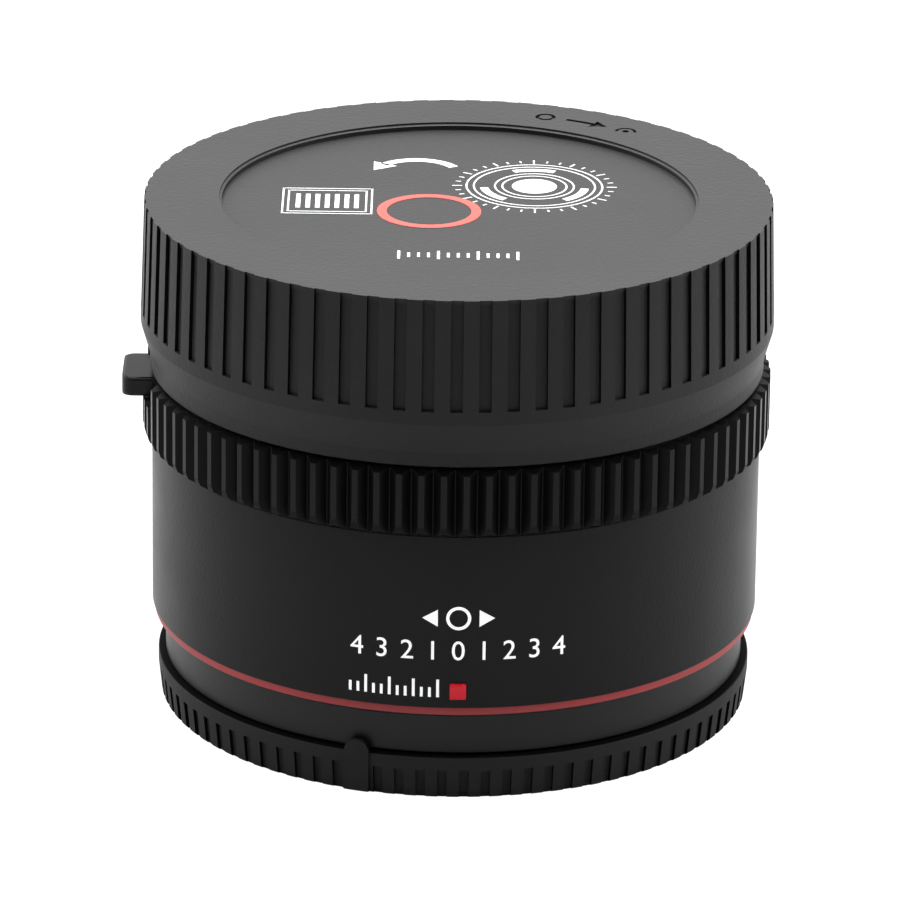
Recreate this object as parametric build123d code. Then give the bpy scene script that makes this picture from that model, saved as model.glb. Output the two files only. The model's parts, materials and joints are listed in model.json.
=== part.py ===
from build123d import *

import os
from math import atan2, cos, degrees, radians, sin, sqrt

# A camera teleconverter that stands on its rear cap, with its deep front cap on.
# The origin is the centre of the rear cap's bottom face. +Z runs up the optical axis, from the
# camera side to the lens side. The index mark faces -Y and the release lever sticks out at -X.
# Lengths are in millimetres and angles in degrees. A level is a height above the origin.

os.makedirs("parts", exist_ok=True)

# Clearances
FIT = 0.03  # between turned pieces that are pushed together
RUNNING = 0.05  # radial, round a pin that slides
LOOSE = 0.15  # between pieces that come apart or pass each other
CUT_OVERRUN = 1.0  # how far a cutting tool runs past the wall that it cuts

# Directions round the axis
INDEX_ANGLE = -89.1
LEVER_ANGLE = 180.0
CONTACT_ANGLE = 90.0
CLAW_COUNT = 3
CLAW_ANGLE = -90.0  # middle of the first claw of each mount
CLAW_GAP_ANGLE = CLAW_ANGLE + 180.0 / CLAW_COUNT

# Rear cap
REAR_CAP_ROOM = 0.7  # round the rear flange, inside the cap's wall
REAR_CAP_FLOOR_GAP = 0.55  # under the bayonet's claws
REAR_CAP_DRAFT = 0.33  # its foot is this much narrower than its lip
REAR_CAP_WALL = 1.3
REAR_CAP_FLOOR = 1.2
REAR_CAP_EDGE = 0.25
REAR_CAP_LIP = 1.45  # plain band over the grooves
REAR_CAP_GROOVE_COUNT = 88
REAR_CAP_GROOVE_WIDTH = 1.0
REAR_CAP_GROOVE_DEPTH = 0.5
REAR_CAP_CLAW_RING_WALL = 1.0
REAR_CAP_CLAW_THICKNESS = 1.2
REAR_CAP_CLAW_ARC_ANGLE = 40.0
REAR_CAP_LINE_INSET = 7.0
REAR_CAP_LINE_WIDTH = 0.7
REAR_CAP_LINE_DEPTH = 0.3
NUB_ANGLE = INDEX_ANGLE - 19.1
NUB_WIDTH = 2.75
NUB_RISE = 1.4  # over the cap's lip
NUB_PROUD = 0.2
NUB_THICKNESS = 0.55

# Rear mount, on the camera side
REAR_CAP_GAP = 0.15  # between the cap's lip and the flange
BAYONET_PLAY = 0.1  # between the rear claws and the throat that they go into
REAR_SPIGOT_WALL = 1.7
REAR_SPIGOT_LENGTH = 3.1
REAR_FLANGE_OVERHANG = 3.0  # past the throat's radius
REAR_FLANGE_THICKNESS = 2.0
REAR_CLAW_REACH = 1.5
REAR_CLAW_THICKNESS = 1.4
REAR_CLAW_ARC_ANGLE = 50.0
REAR_SCREW_COUNT = 4
REAR_SCREW_ANGLE = 45.0
REAR_SCREW_INSET = 1.9  # from the flange's edge
LOCK_SLOT_RADIUS = 1.1
LOCK_SLOT_ANGLE = 160.0

# Weather seal
SEAL_WIDTH = 0.8
SEAL_HEIGHT = 1.1
SEAL_PROUD = 0.05

# Barrel
FLANGE_TO_FLANGE = 33.75
BARREL_WALL = 1.4
BARREL_FOOT_GAP = 0.5  # from the rear flange's plane up to the barrel's foot
REAR_SECTION_RISE = 4.5
REAR_SECTION_INSET = 1.45  # from the barrel's wall in to the section's
REAR_SECTION_WALL = 0.7
REAR_SECTION_LEDGE = 2.3
SPIGOT_WALL = 0.6
SPIGOT_RISE = 2.65
RED_RING_HEIGHT = 0.9
RED_RING_INSET = 0.03
SLEEVE_WALL = 0.45
INDEX_SIZE = 1.75
INDEX_RISE = 1.95  # from the red ring to the middle of the mark
INDEX_PROUD = 0.35
INDEX_DEPTH = 0.4
INDEX_EDGE = 0.2

# Grip ring
GRIP_TOOTH_COUNT = 90
GRIP_TOP_DROP = 0.9  # below the front flange's plane
GRIP_TIP_WIDTH = 0.65
GRIP_FLOOR_WIDTH = 0.15
GRIP_TOOTH_DEPTH = 1.0
GRIP_HEIGHT = 7.5
GRIP_LIP = 0.6  # over the barrel's sleeve
GRIP_BOTTOM_CHAMFER = 1.0
GRIP_TOP_CHAMFER = 0.42

# Front mount, on the lens side
FRONT_FLANGE_OVERHANG = 4.1  # past the throat's radius
FRONT_FLANGE_THICKNESS = 1.65
THROAT_RADIUS = 27.5
THROAT_WALL = 0.9
THROAT_DEPTH = 4.3
FRONT_CLAW_REACH = 1.4
FRONT_CLAW_THICKNESS = 1.3
FRONT_CLAW_INSET = 0.3
FRONT_CLAW_ARC_ANGLE = 62.0
THROAT_STEP = 0.7
THROAT_STEP_HEIGHT = 1.85
FRONT_SCREW_COUNT = 6
FRONT_SCREW_ANGLE = 30.0
FRONT_SCREW_INSET = 1.7  # from the flange's edge
SPRING_PLATE = 0.2
SPRING_PLATE_WIDTH = 1.0
LEAF_LENGTH = 9.0
LEAF_WIDTH = 0.6
LEAF_RISE = 0.8

# Front cap
FRONT_CAP_HEIGHT = 18.65
FRONT_CAP_OVERLAP = 0.55  # of its skirt over the flange
FRONT_CAP_ROOM = 0.4  # round the front flange
FRONT_CAP_WALL = 1.35
FRONT_CAP_SKIRT = 1.55  # straight part of the skirt
FRONT_CAP_TAPER = 3.46
FRONT_CAP_FLARE = 1.0  # from the skirt out to the lip
FRONT_CAP_LIP = 1.44
FRONT_CAP_DRAFT = 0.42  # its top is this much narrower than its lip
FRONT_CAP_TOP_THICKNESS = 2.6
FRONT_CAP_EDGE = 0.3
FRONT_CAP_RIB_COUNT = 72
FRONT_CAP_GROOVE_WIDTH = 1.31
FRONT_CAP_GROOVE_DEPTH = 0.5
FRONT_CAP_RIM = 8.08
FRONT_CAP_RECESS_DEPTH = 0.65
FRONT_CAP_RECESS_BEVEL = 0.12
FRONT_CAP_SPIGOT_GAP = 0.5  # inside the mount's claws
FRONT_CAP_SPIGOT_WALL = 1.6
FRONT_CAP_SPIGOT_REACH = 2.4  # below the flange's plane
FRONT_CAP_CLAW_REACH = 1.6
FRONT_CAP_CLAW_THICKNESS = 1.2
FRONT_CAP_CLAW_ARC_ANGLE = 40.0
FRONT_CAP_WEB_COUNT = 6
FRONT_CAP_WEB_THICKNESS = 1.2

# Screws
MOUNT_SCREW_HEAD_RADIUS = 1.35
MOUNT_SCREW_HEAD_HEIGHT = 0.95
MOUNT_SCREW_SHANK_RADIUS = 0.8
MOUNT_SCREW_GRIP = 1.6  # thread length in the frame
MOUNT_SCREW_SINK = 0.1
SMALL_SCREW_HEAD_RADIUS = 1.2
SMALL_SCREW_HEAD_HEIGHT = 0.8
SMALL_SCREW_SHANK_RADIUS = 0.6
SMALL_SCREW_GRIP = 1.4
CROSS_SLOT_WIDTH = 0.35
CROSS_SLOT_LENGTH = 1.5
CROSS_SLOT_DEPTH = 0.4

# Main frame
FRAME_WALL = 1.3
FRAME_BASE = 2.15
FRAME_BASE_WIDTH = 3.3
FRAME_WEB_PLACE_SHARE = 0.566  # of the height between the frame's base and its collar
FRAME_WEB_THICKNESS = 1.6
FRAME_WEB_WIDTH = 9.8
COLLAR_LEDGE = 1.2
COLLAR_LEDGE_WIDTH = 1.8
BOARD_BOSS_COUNT = 3
BOARD_BOSS_ANGLE = 30.0
BOARD_BOSS_INSET = 3.9  # from the frame's wall
BOARD_BOSS_RADIUS = 2.0

# Release lever and lens lock pin
LEVER_THICKNESS = 2.0
LEVER_TOP_GAP = 0.15
LEVER_TRAIL_ANGLE = 14.0
LEVER_LEAD_ANGLE = 12.4
LEVER_TRAVEL_ANGLE = 6.0
TAB_PROUD = 3.15
TAB_WIDTH = 8.0
TAB_CORNER = 1.2
TAB_NOTCH_GAP = 0.3
RAMP_DROP = 1.5
RAMP_LAND = 1.4
PIN_ARM_LENGTH = 4.8
PIN_ARM_THICKNESS = 0.8
PIN_ARM_WIDTH = 1.6
PIN_ARM_GAP = 0.1  # under the lever's ramp
LOCK_PIN_INSET = 2.0  # from the front flange's edge
LOCK_PIN_RADIUS = 0.95
LOCK_PIN_PROUD = 1.3
LOCK_PIN_STEM_RADIUS = 0.55
LOCK_PIN_STEM_REACH = 0.5
LOCK_POCKET_FLOOR = 1.0
LOCK_SPRING_RADIUS = 0.8
LOCK_SPRING_WIRE_RADIUS = 0.12
LOCK_SPRING_TURN_COUNT = 4
LEVER_SPRING_RADIUS = 0.65
LEVER_SPRING_WIRE_RADIUS = 0.1
LEVER_SPRING_LENGTH = 4.0
LEVER_SPRING_TURN_COUNT = 9
LEVER_SPRING_POST = 0.5

# Front baffle and contacts
BAFFLE_THICKNESS = 1.2
BAFFLE_LENS_GAP = 0.4
CONTACT_COUNT = 11
CONTACT_PITCH_ANGLE = 6.0
CONTACT_INSET = 3.5  # from the throat's wall
CONTACT_BLOCK_ANGLE = 68.0
CONTACT_EAR_ANGLE = 84.0
CONTACT_EAR_THICKNESS = 1.0
CONTACT_BLOCK_WIDTH = 3.6
FRONT_BLOCK_HEIGHT = 2.1
CONTACT_PIN_RADIUS = 0.5
CONTACT_PIN_PROUD = 0.9
CONTACT_PIN_TRAVEL = 0.7
CONTACT_PIN_FLANGE_RADIUS = 0.75
CONTACT_PIN_FLANGE = 0.35
CONTACT_PIN_STEM_RADIUS = 0.3
CONTACT_BLOCK_ROOF = 0.4
CONTACT_SPRING_RADIUS = 0.55
CONTACT_SPRING_WIRE_RADIUS = 0.06
CONTACT_SPRING_TURN_COUNT = 3
CONTACT_SCREW_ANGLE = 38.0  # from the block's middle

# Front cell, the nose that reaches into the lens
NOSE_ROOM = 10.0  # between the nose and the throat's wall
NOSE_WALL = 2.5
NOSE_TOP_RISE = 9.0  # above the flange's plane
NOSE_EDGE = 0.4
NOSE_BEVEL = 1.4
CELL_FLANGE_OVERHANG = 1.1  # past the nose
CELL_FLANGE_THICKNESS = 1.3
CELL_FLANGE_LAND = 2.8
CELL_SPIGOT_LENGTH = 1.9
CELL_LENS_SEAT = 1.4
CELL_SHOULDER = 0.7
CELL_SEAT_RISE = 2.0  # from the flange's foot up to the seat of the third lens
RING_WIDTH = 1.2
FRONT_RING_HEIGHT = 1.6

# Lens tube
TUBE_WALL = 1.8
TUBE_LEDGE = 0.6
TUBE_LEDGE_WIDTH = 0.8
TUBE_HEAD_RISE = 1.5
TUBE_HEAD_CONE = 1.9
TUBE_FLANGE_GAP = 0.8  # from the front flat cable
TUBE_FLANGE_THICKNESS = 1.4
TUBE_TAIL = 1.4  # below the last lens's edge
TUBE_SCREW_COUNT = 3
TUBE_SCREW_ANGLE = 0.0
TUBE_SCREW_PLACE_SHARE = 0.513  # of the flange's width on the frame's web
REAR_LENS_STEP = 2.0  # the rear lenses are this much smaller in radius than the front ones
REAR_RING_HEIGHT = 1.2

# Lenses: thickness at the edge, bulge of the upper face and bulge of the lower face.
# A bulge is how far a face stands out at its middle, and a hollow face has a negative one.
LENS_1_EDGE = 1.2
LENS_1_UPPER = 1.4
LENS_1_LOWER = -1.0
LENS_2_EDGE = 2.4
LENS_2_UPPER = 1.1
LENS_2_LOWER = 1.0
LENS_3_EDGE = 3.7
LENS_3_LOWER = -1.0
LENS_4_EDGE = 3.0
LENS_4_UPPER = -0.9
LENS_4_LOWER = -1.0
LENS_5_EDGE = 2.4
LENS_5_UPPER = 1.3
LENS_5_LOWER = 1.1
LENS_6_EDGE = 2.4
LENS_6_LOWER = -0.3
LENS_7_EDGE = 2.4
LENS_7_UPPER = -0.6
LENS_7_LOWER = -0.5
LENS_8_EDGE = 2.6
LENS_8_UPPER = 0.9
LENS_8_LOWER = 0.9
SPACER_1_LENGTH = 2.0
SPACER_2_SHARE = 0.275  # of the tube's length that its lenses leave free
SPACER_3_SHARE = 0.3
REAR_LENS_GAP = 1.77  # from the rear baffle to the last lens's edge

# Rear baffle and contacts
REAR_BAFFLE_PLATE = 1.2
REAR_BAFFLE_RIM_WALL = 0.95
REAR_BAFFLE_RIM_DEPTH = 2.6
REAR_BAFFLE_FLANGE = 1.05
REAR_WINDOW_END_INSET = 0.5  # inside the last lens's edge
REAR_WINDOW_SIDE_INSET = 4.0
REAR_WINDOW_CORNER = 2.0
REAR_BLOCK_INSET = 4.6  # from the mount's bore to the block's inner wall
REAR_BLOCK_HEIGHT = 4.2
REAR_PAD_WIDTH = 1.5
REAR_PAD_LENGTH = 2.2
REAR_PAD_THICKNESS = 0.2
REAR_BAFFLE_SCREW_COUNT = 3
REAR_BAFFLE_SCREW_ANGLE = 30.0
REAR_BAFFLE_SCREW_INSET = 1.5
REAR_BAFFLE_SCREW_GRIP = 0.95

# Main board and cables
BOARD_PLACE_SHARE = 0.236  # of the height between the frame's base and its collar
BOARD_THICKNESS = 1.0
BOARD_TUBE_GAP = 1.77
BOARD_EDGE_GAP = 0.5
BIG_CHIP = 6.0
SMALL_CHIP = 3.2
CHIP_HEIGHT = 0.9
SMALL_PART_LENGTH = 1.6
SMALL_PART_WIDTH = 0.8
SMALL_PART_HEIGHT = 0.5
SMALL_PART_COUNT = 14
SMALL_PART_ANGLE = -60.0
SMALL_PART_PITCH_ANGLE = 4.0
BIG_CHIP_ANGLES = (5.0, 200.0)
SMALL_CHIP_ANGLES = (-75.0, 225.0, 170.0)
CONNECTOR_WIDTH = 11.0
CONNECTOR_DEPTH = 2.6
CONNECTOR_HEIGHT = 1.0
CABLE_WIDTH = 9.0
CABLE_THICKNESS = 0.2
CABLE_SLOT_GAP = 0.5
FRONT_CABLE_INSET = 1.3  # from the collar's ledge
REAR_CABLE_INSET = 2.0  # from the rear block's inner wall

# Radii, from the throat outwards and inwards
throat_outer = THROAT_RADIUS + THROAT_WALL
front_claw_radius = THROAT_RADIUS - FRONT_CLAW_REACH
front_flange_radius = THROAT_RADIUS + FRONT_FLANGE_OVERHANG
front_screw_circle = front_flange_radius - FRONT_SCREW_INSET
lock_pin_circle = front_flange_radius - LOCK_PIN_INSET
barrel_bore = front_flange_radius + LOOSE
barrel_radius = barrel_bore + BARREL_WALL
sleeve_radius = barrel_bore + SLEEVE_WALL
spigot_radius = barrel_bore + SPIGOT_WALL
section_radius = barrel_radius - REAR_SECTION_INSET
section_bore = section_radius - REAR_SECTION_WALL
grip_tip_radius = barrel_radius + GRIP_TOOTH_DEPTH
tab_reach = barrel_radius + TAB_PROUD
frame_radius = barrel_bore - RUNNING
frame_bore = frame_radius - FRAME_WALL
frame_web_bore = frame_bore - FRAME_WEB_WIDTH
collar_bore = throat_outer + RUNNING
collar_ledge_bore = throat_outer - COLLAR_LEDGE_WIDTH
front_cap_bore = front_flange_radius + FRONT_CAP_ROOM
front_cap_skirt_radius = front_cap_bore + FRONT_CAP_WALL
front_cap_lip_radius = front_cap_skirt_radius + FRONT_CAP_FLARE
front_cap_top_radius = front_cap_lip_radius - FRONT_CAP_DRAFT
front_cap_recess_radius = front_cap_top_radius - FRONT_CAP_RIM
front_cap_spigot_radius = front_claw_radius - FRONT_CAP_SPIGOT_GAP
rear_claw_radius = THROAT_RADIUS - BAYONET_PLAY
rear_spigot_radius = rear_claw_radius - REAR_CLAW_REACH
rear_bore = rear_spigot_radius - REAR_SPIGOT_WALL
rear_flange_radius = THROAT_RADIUS + REAR_FLANGE_OVERHANG
rear_screw_circle = rear_flange_radius - REAR_SCREW_INSET
rear_cap_radius = rear_flange_radius + REAR_CAP_ROOM + REAR_CAP_WALL
rear_cap_foot_radius = rear_cap_radius - REAR_CAP_DRAFT
frame_base_bore = rear_flange_radius - FRAME_BASE_WIDTH
rear_baffle_screw_circle = frame_base_bore - REAR_BAFFLE_SCREW_INSET
rear_block_inner = rear_bore - REAR_BLOCK_INSET
rear_cable_circle = rear_block_inner + REAR_CABLE_INSET
nose_radius = THROAT_RADIUS - NOSE_ROOM
front_lens_radius = nose_radius - NOSE_WALL
rear_lens_radius = front_lens_radius - REAR_LENS_STEP
cell_bore = front_lens_radius + FIT
cell_throat_radius = front_lens_radius - CELL_LENS_SEAT
cell_flange_radius = nose_radius + CELL_FLANGE_OVERHANG
cell_spigot_radius = cell_flange_radius - CELL_FLANGE_LAND
tube_bore = rear_lens_radius + FIT
tube_radius = tube_bore + TUBE_WALL
front_cable_circle = collar_ledge_bore - FRONT_CABLE_INSET
tube_flange_radius = front_cable_circle - TUBE_FLANGE_GAP
tube_screw_circle = frame_web_bore + TUBE_SCREW_PLACE_SHARE * (tube_flange_radius - frame_web_bore)
contact_circle = THROAT_RADIUS - CONTACT_INSET
contact_block_inner = contact_circle - CONTACT_BLOCK_WIDTH / 2
contact_block_outer = contact_circle + CONTACT_BLOCK_WIDTH / 2
board_inner = tube_radius + BOARD_TUBE_GAP
board_outer = frame_bore - BOARD_EDGE_GAP
board_boss_circle = frame_bore - BOARD_BOSS_INSET
chip_circle = (board_inner + board_outer) / 2
lever_inner = throat_outer + 2 * RUNNING
lever_outer = frame_radius - 2 * RUNNING
lever_middle = (lever_inner + lever_outer) / 2

# Levels, from the rear cap up
rear_cap_height = REAR_CAP_FLOOR + REAR_CAP_FLOOR_GAP + REAR_SPIGOT_LENGTH - REAR_CAP_GAP
rear_flange = rear_cap_height + REAR_CAP_GAP
rear_flange_top = rear_flange + REAR_FLANGE_THICKNESS
front_flange = rear_flange + FLANGE_TO_FLANGE
front_flange_foot = front_flange - FRONT_FLANGE_THICKNESS
barrel_foot = rear_flange + BARREL_FOOT_GAP
red_ring_foot = barrel_foot + REAR_SECTION_RISE
barrel_low = red_ring_foot + RED_RING_HEIGHT
index_level = barrel_low + INDEX_RISE
grip_top = front_flange - GRIP_TOP_DROP
barrel_high = grip_top - GRIP_HEIGHT
throat_foot = front_flange_foot - THROAT_DEPTH
baffle_top = throat_foot - RUNNING
baffle_foot = baffle_top - BAFFLE_THICKNESS
collar_foot = baffle_foot - COLLAR_LEDGE
frame_base_top = rear_flange_top + FRAME_BASE
frame_room = collar_foot - frame_base_top
web_foot = frame_base_top + FRAME_WEB_PLACE_SHARE * frame_room
web_top = web_foot + FRAME_WEB_THICKNESS
board_foot = frame_base_top + BOARD_PLACE_SHARE * frame_room
board_top = board_foot + BOARD_THICKNESS
cell_flange_foot = baffle_top + BAFFLE_LENS_GAP - FIT
nose_top = front_flange + NOSE_TOP_RISE
lens_3_foot = cell_flange_foot + CELL_SEAT_RISE
lens_2_foot = lens_3_foot + LENS_3_EDGE
lens_1_foot = lens_2_foot + LENS_2_EDGE + SPACER_1_LENGTH
tube_top = cell_flange_foot
tube_ledge_top = tube_top - CELL_SPIGOT_LENGTH
plate_top = rear_flange_top + REAR_BAFFLE_FLANGE
plate_foot = plate_top - REAR_BAFFLE_PLATE
lens_8_foot = plate_top + REAR_LENS_GAP
lens_4_foot = tube_ledge_top - TUBE_LEDGE - LENS_4_EDGE
tube_free = lens_4_foot - lens_8_foot - LENS_5_EDGE - LENS_6_EDGE - LENS_7_EDGE - LENS_8_EDGE
lens_5_foot = lens_4_foot - SPACER_2_SHARE * tube_free - LENS_5_EDGE
lens_6_foot = lens_5_foot - LENS_6_EDGE
lens_7_foot = lens_6_foot - SPACER_3_SHARE * tube_free - LENS_7_EDGE
tube_foot = lens_8_foot - TUBE_TAIL
cap_foot = front_flange - FRONT_CAP_OVERLAP
cap_top = cap_foot + FRONT_CAP_HEIGHT
cap_ceiling = cap_top - FRONT_CAP_TOP_THICKNESS
lever_top = front_flange_foot - LEVER_TOP_GAP
lever_foot = lever_top - LEVER_THICKNESS
block_top = baffle_top + FRONT_BLOCK_HEIGHT

# The lever's ramp and the lock pin beyond its end
ramp_travel = radians(LEVER_TRAVEL_ANGLE) * lock_pin_circle
lock_pin_angle = LEVER_ANGLE + LEVER_LEAD_ANGLE + degrees(PIN_ARM_LENGTH / lock_pin_circle)
pocket_end = lock_pin_angle + degrees((LOCK_PIN_RADIUS + 2 * LOOSE) / lock_pin_circle)
arm_top = lever_foot - PIN_ARM_GAP
arm_foot = arm_top - PIN_ARM_THICKNESS
pocket_floor = collar_foot + LOCK_POCKET_FLOOR


def turned(*outline):
    """A solid turned about the optical axis from an outline of (radius, level) corners."""
    corners = [(radius, 0, level) for radius, level in outline]
    return revolve(make_face(Polyline(*corners, close=True)), Axis.Z)


def ring(inner, outer, low, high):
    return turned((inner, low), (outer, low), (outer, high), (inner, high))


def sector(inner, outer, low, high, start, end):
    """Part of a ring, from one angle round to another."""
    corners = [(inner, 0, low), (outer, 0, low), (outer, 0, high), (inner, 0, high)]
    face = make_face(Polyline(*corners, close=True))
    return Rot(0, 0, start) * revolve(face, Axis.Z, revolution_arc=end - start)


def at(radius, angle, level=0):
    """A place round the axis whose own X points outwards."""
    x, y = radius * cos(radians(angle)), radius * sin(radians(angle))
    return Location((x, y, level), (0, 0, angle))


def block(depth, width, low, high):
    """A box that spans two levels, for a place with its own level at zero."""
    return Pos(0, 0, low) * Box(depth, width, high - low, align=(Align.CENTER, Align.CENTER, Align.MIN))


def rod(radius, low, high):
    return Pos(0, 0, low) * Cylinder(radius, high - low, align=(Align.CENTER, Align.CENTER, Align.MIN))


def angles(count, first=0.0):
    return [first + 360.0 * i / count for i in range(count)]


def around(shape, circle, directions):
    """Copies of a shape on a circle, each turned to face outwards."""
    return [at(circle, angle) * shape for angle in directions]


def save(name, *solids):
    shape = solids[0] if len(solids) == 1 else Compound(children=list(solids))
    export_step(shape, f"parts/{name}.step")


def one_solid(shape):
    """The single solid of a result, or an error if it fell apart."""
    solids = shape.solids()
    assert len(solids) == 1, f"{len(solids)} solids"
    return solids[0]


def bulge_at(bulge, edge_radius, radius):
    """How far a lens face with this bulge stands out at a radius."""
    if bulge == 0:
        return 0
    curve = (edge_radius**2 + bulge**2) / (2 * abs(bulge))
    height = sqrt(curve**2 - radius**2) - (curve - abs(bulge))
    return height if bulge > 0 else -height


def lens(radius, foot, edge, upper, lower):
    """One glass: a straight edge between two faces, each an arc through its middle."""
    head = foot + edge
    half = radius / 2
    rim = Line((radius, 0, foot), (radius, 0, head))
    high = ThreePointArc(
        (radius, 0, head), (half, 0, head + bulge_at(upper, radius, half)), (0, 0, head + upper)
    )
    core = Line((0, 0, head + upper), (0, 0, foot - lower))
    low = ThreePointArc(
        (0, 0, foot - lower), (half, 0, foot - bulge_at(lower, radius, half)), (radius, 0, foot)
    )
    return revolve(make_face([rim, high, core, low]), Axis.Z)


def spacer(bore, low, high, lower_bulge=0.0, upper_bulge=0.0):
    """A ring between two glasses, with each end cut back to clear a glass that bulges into it."""
    radius = bore - FIT
    inner = bore - RING_WIDTH
    low_inner = low + (bulge_at(lower_bulge, radius, inner) + FIT if lower_bulge > 0 else 0)
    high_inner = high - (bulge_at(upper_bulge, radius, inner) + FIT if upper_bulge > 0 else 0)
    return turned((inner, low_inner), (radius, low), (radius, high), (inner, high_inner))


def cross_slot():
    """The tool that cuts a cross into a screw head whose top is at level zero."""
    arm = block(CROSS_SLOT_LENGTH, CROSS_SLOT_WIDTH, -CROSS_SLOT_DEPTH, CUT_OVERRUN)
    return arm + Rot(0, 0, 90) * arm


def screw_cone():
    """The countersunk head of a mount screw, with its face up at level zero."""
    return turned(
        (0, 0),
        (MOUNT_SCREW_HEAD_RADIUS, 0),
        (MOUNT_SCREW_SHANK_RADIUS, -MOUNT_SCREW_HEAD_HEIGHT),
        (0, -MOUNT_SCREW_HEAD_HEIGHT),
    )


def mount_screw(length):
    shank = rod(MOUNT_SCREW_SHANK_RADIUS, -length, -MOUNT_SCREW_HEAD_HEIGHT)
    return one_solid(screw_cone() + shank - cross_slot())


def countersink(depth):
    """The tool for a countersunk hole from level zero down, with the screw's own sizes."""
    sink = rod(MOUNT_SCREW_HEAD_RADIUS, -MOUNT_SCREW_SINK, CUT_OVERRUN)
    cone = Pos(0, 0, -MOUNT_SCREW_SINK) * screw_cone()
    return sink + cone + rod(MOUNT_SCREW_SHANK_RADIUS, -depth, 0)


def small_screw(grip):
    """A cheese-head screw whose head sits on level zero, with its shank below."""
    head = rod(SMALL_SCREW_HEAD_RADIUS, 0, SMALL_SCREW_HEAD_HEIGHT)
    shank = rod(SMALL_SCREW_SHANK_RADIUS, -grip, 0)
    return one_solid(head + shank - Pos(0, 0, SMALL_SCREW_HEAD_HEIGHT) * cross_slot())


def coil(radius, wire, low, high, turns):
    """A coil spring that stands between two levels, made of round wire."""
    travel = high - low - 2 * wire
    path = Helix(travel / turns, travel, radius)
    start = Plane(origin=path @ 0, z_dir=path % 0)
    return Pos(0, 0, low + wire) * sweep(start * Circle(wire), path=path)


def front_cap():
    straight_level = cap_foot + FRONT_CAP_SKIRT
    lip_level = straight_level + FRONT_CAP_TAPER
    body = turned(
        (0, cap_ceiling),
        (front_cap_bore, cap_ceiling),
        (front_cap_bore, cap_foot),
        (front_cap_skirt_radius, cap_foot),
        (front_cap_skirt_radius, straight_level),
        (front_cap_lip_radius, lip_level),
        (front_cap_top_radius, cap_top - FRONT_CAP_EDGE),
        (front_cap_top_radius - FRONT_CAP_EDGE, cap_top),
        (front_cap_recess_radius, cap_top),
        (front_cap_recess_radius - FRONT_CAP_RECESS_BEVEL, cap_top - FRONT_CAP_RECESS_DEPTH),
        (0, cap_top - FRONT_CAP_RECESS_DEPTH),
    )
    spigot_foot = front_flange - FRONT_CAP_SPIGOT_REACH
    body += ring(
        front_cap_spigot_radius - FRONT_CAP_SPIGOT_WALL, front_cap_spigot_radius, spigot_foot, cap_ceiling
    )
    web_length = front_cap_bore - front_cap_spigot_radius + FRONT_CAP_SPIGOT_WALL / 2
    web_circle = front_cap_bore - web_length / 2
    web = block(web_length, FRONT_CAP_WEB_THICKNESS, front_flange + LOOSE, cap_ceiling)
    for copy in around(web, web_circle, angles(FRONT_CAP_WEB_COUNT)):
        body += copy
    half = FRONT_CAP_CLAW_ARC_ANGLE / 2
    for angle in angles(CLAW_COUNT, CLAW_GAP_ANGLE):
        inner = front_cap_spigot_radius - FRONT_CAP_SPIGOT_WALL / 2
        outer = front_cap_spigot_radius + FRONT_CAP_CLAW_REACH
        claw_top = spigot_foot + FRONT_CAP_CLAW_THICKNESS
        body += sector(inner, outer, spigot_foot, claw_top, angle - half, angle + half)
    groove_foot = lip_level + FRONT_CAP_LIP
    slant = degrees(atan2(FRONT_CAP_DRAFT, cap_top - lip_level))
    reach = FRONT_CAP_GROOVE_DEPTH + CUT_OVERRUN
    groove = Box(
        reach,
        FRONT_CAP_GROOVE_WIDTH,
        cap_top - groove_foot + CUT_OVERRUN,
        align=(Align.MIN, Align.CENTER, Align.MAX),
    )
    tool = Pos(-FRONT_CAP_GROOVE_DEPTH, 0, 0) * Rot(0, -slant, 0) * Pos(0, 0, CUT_OVERRUN) * groove
    top_place = [at(front_cap_top_radius, angle, cap_top) for angle in angles(FRONT_CAP_RIB_COUNT)]
    return one_solid(body - [place * tool for place in top_place])


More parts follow.
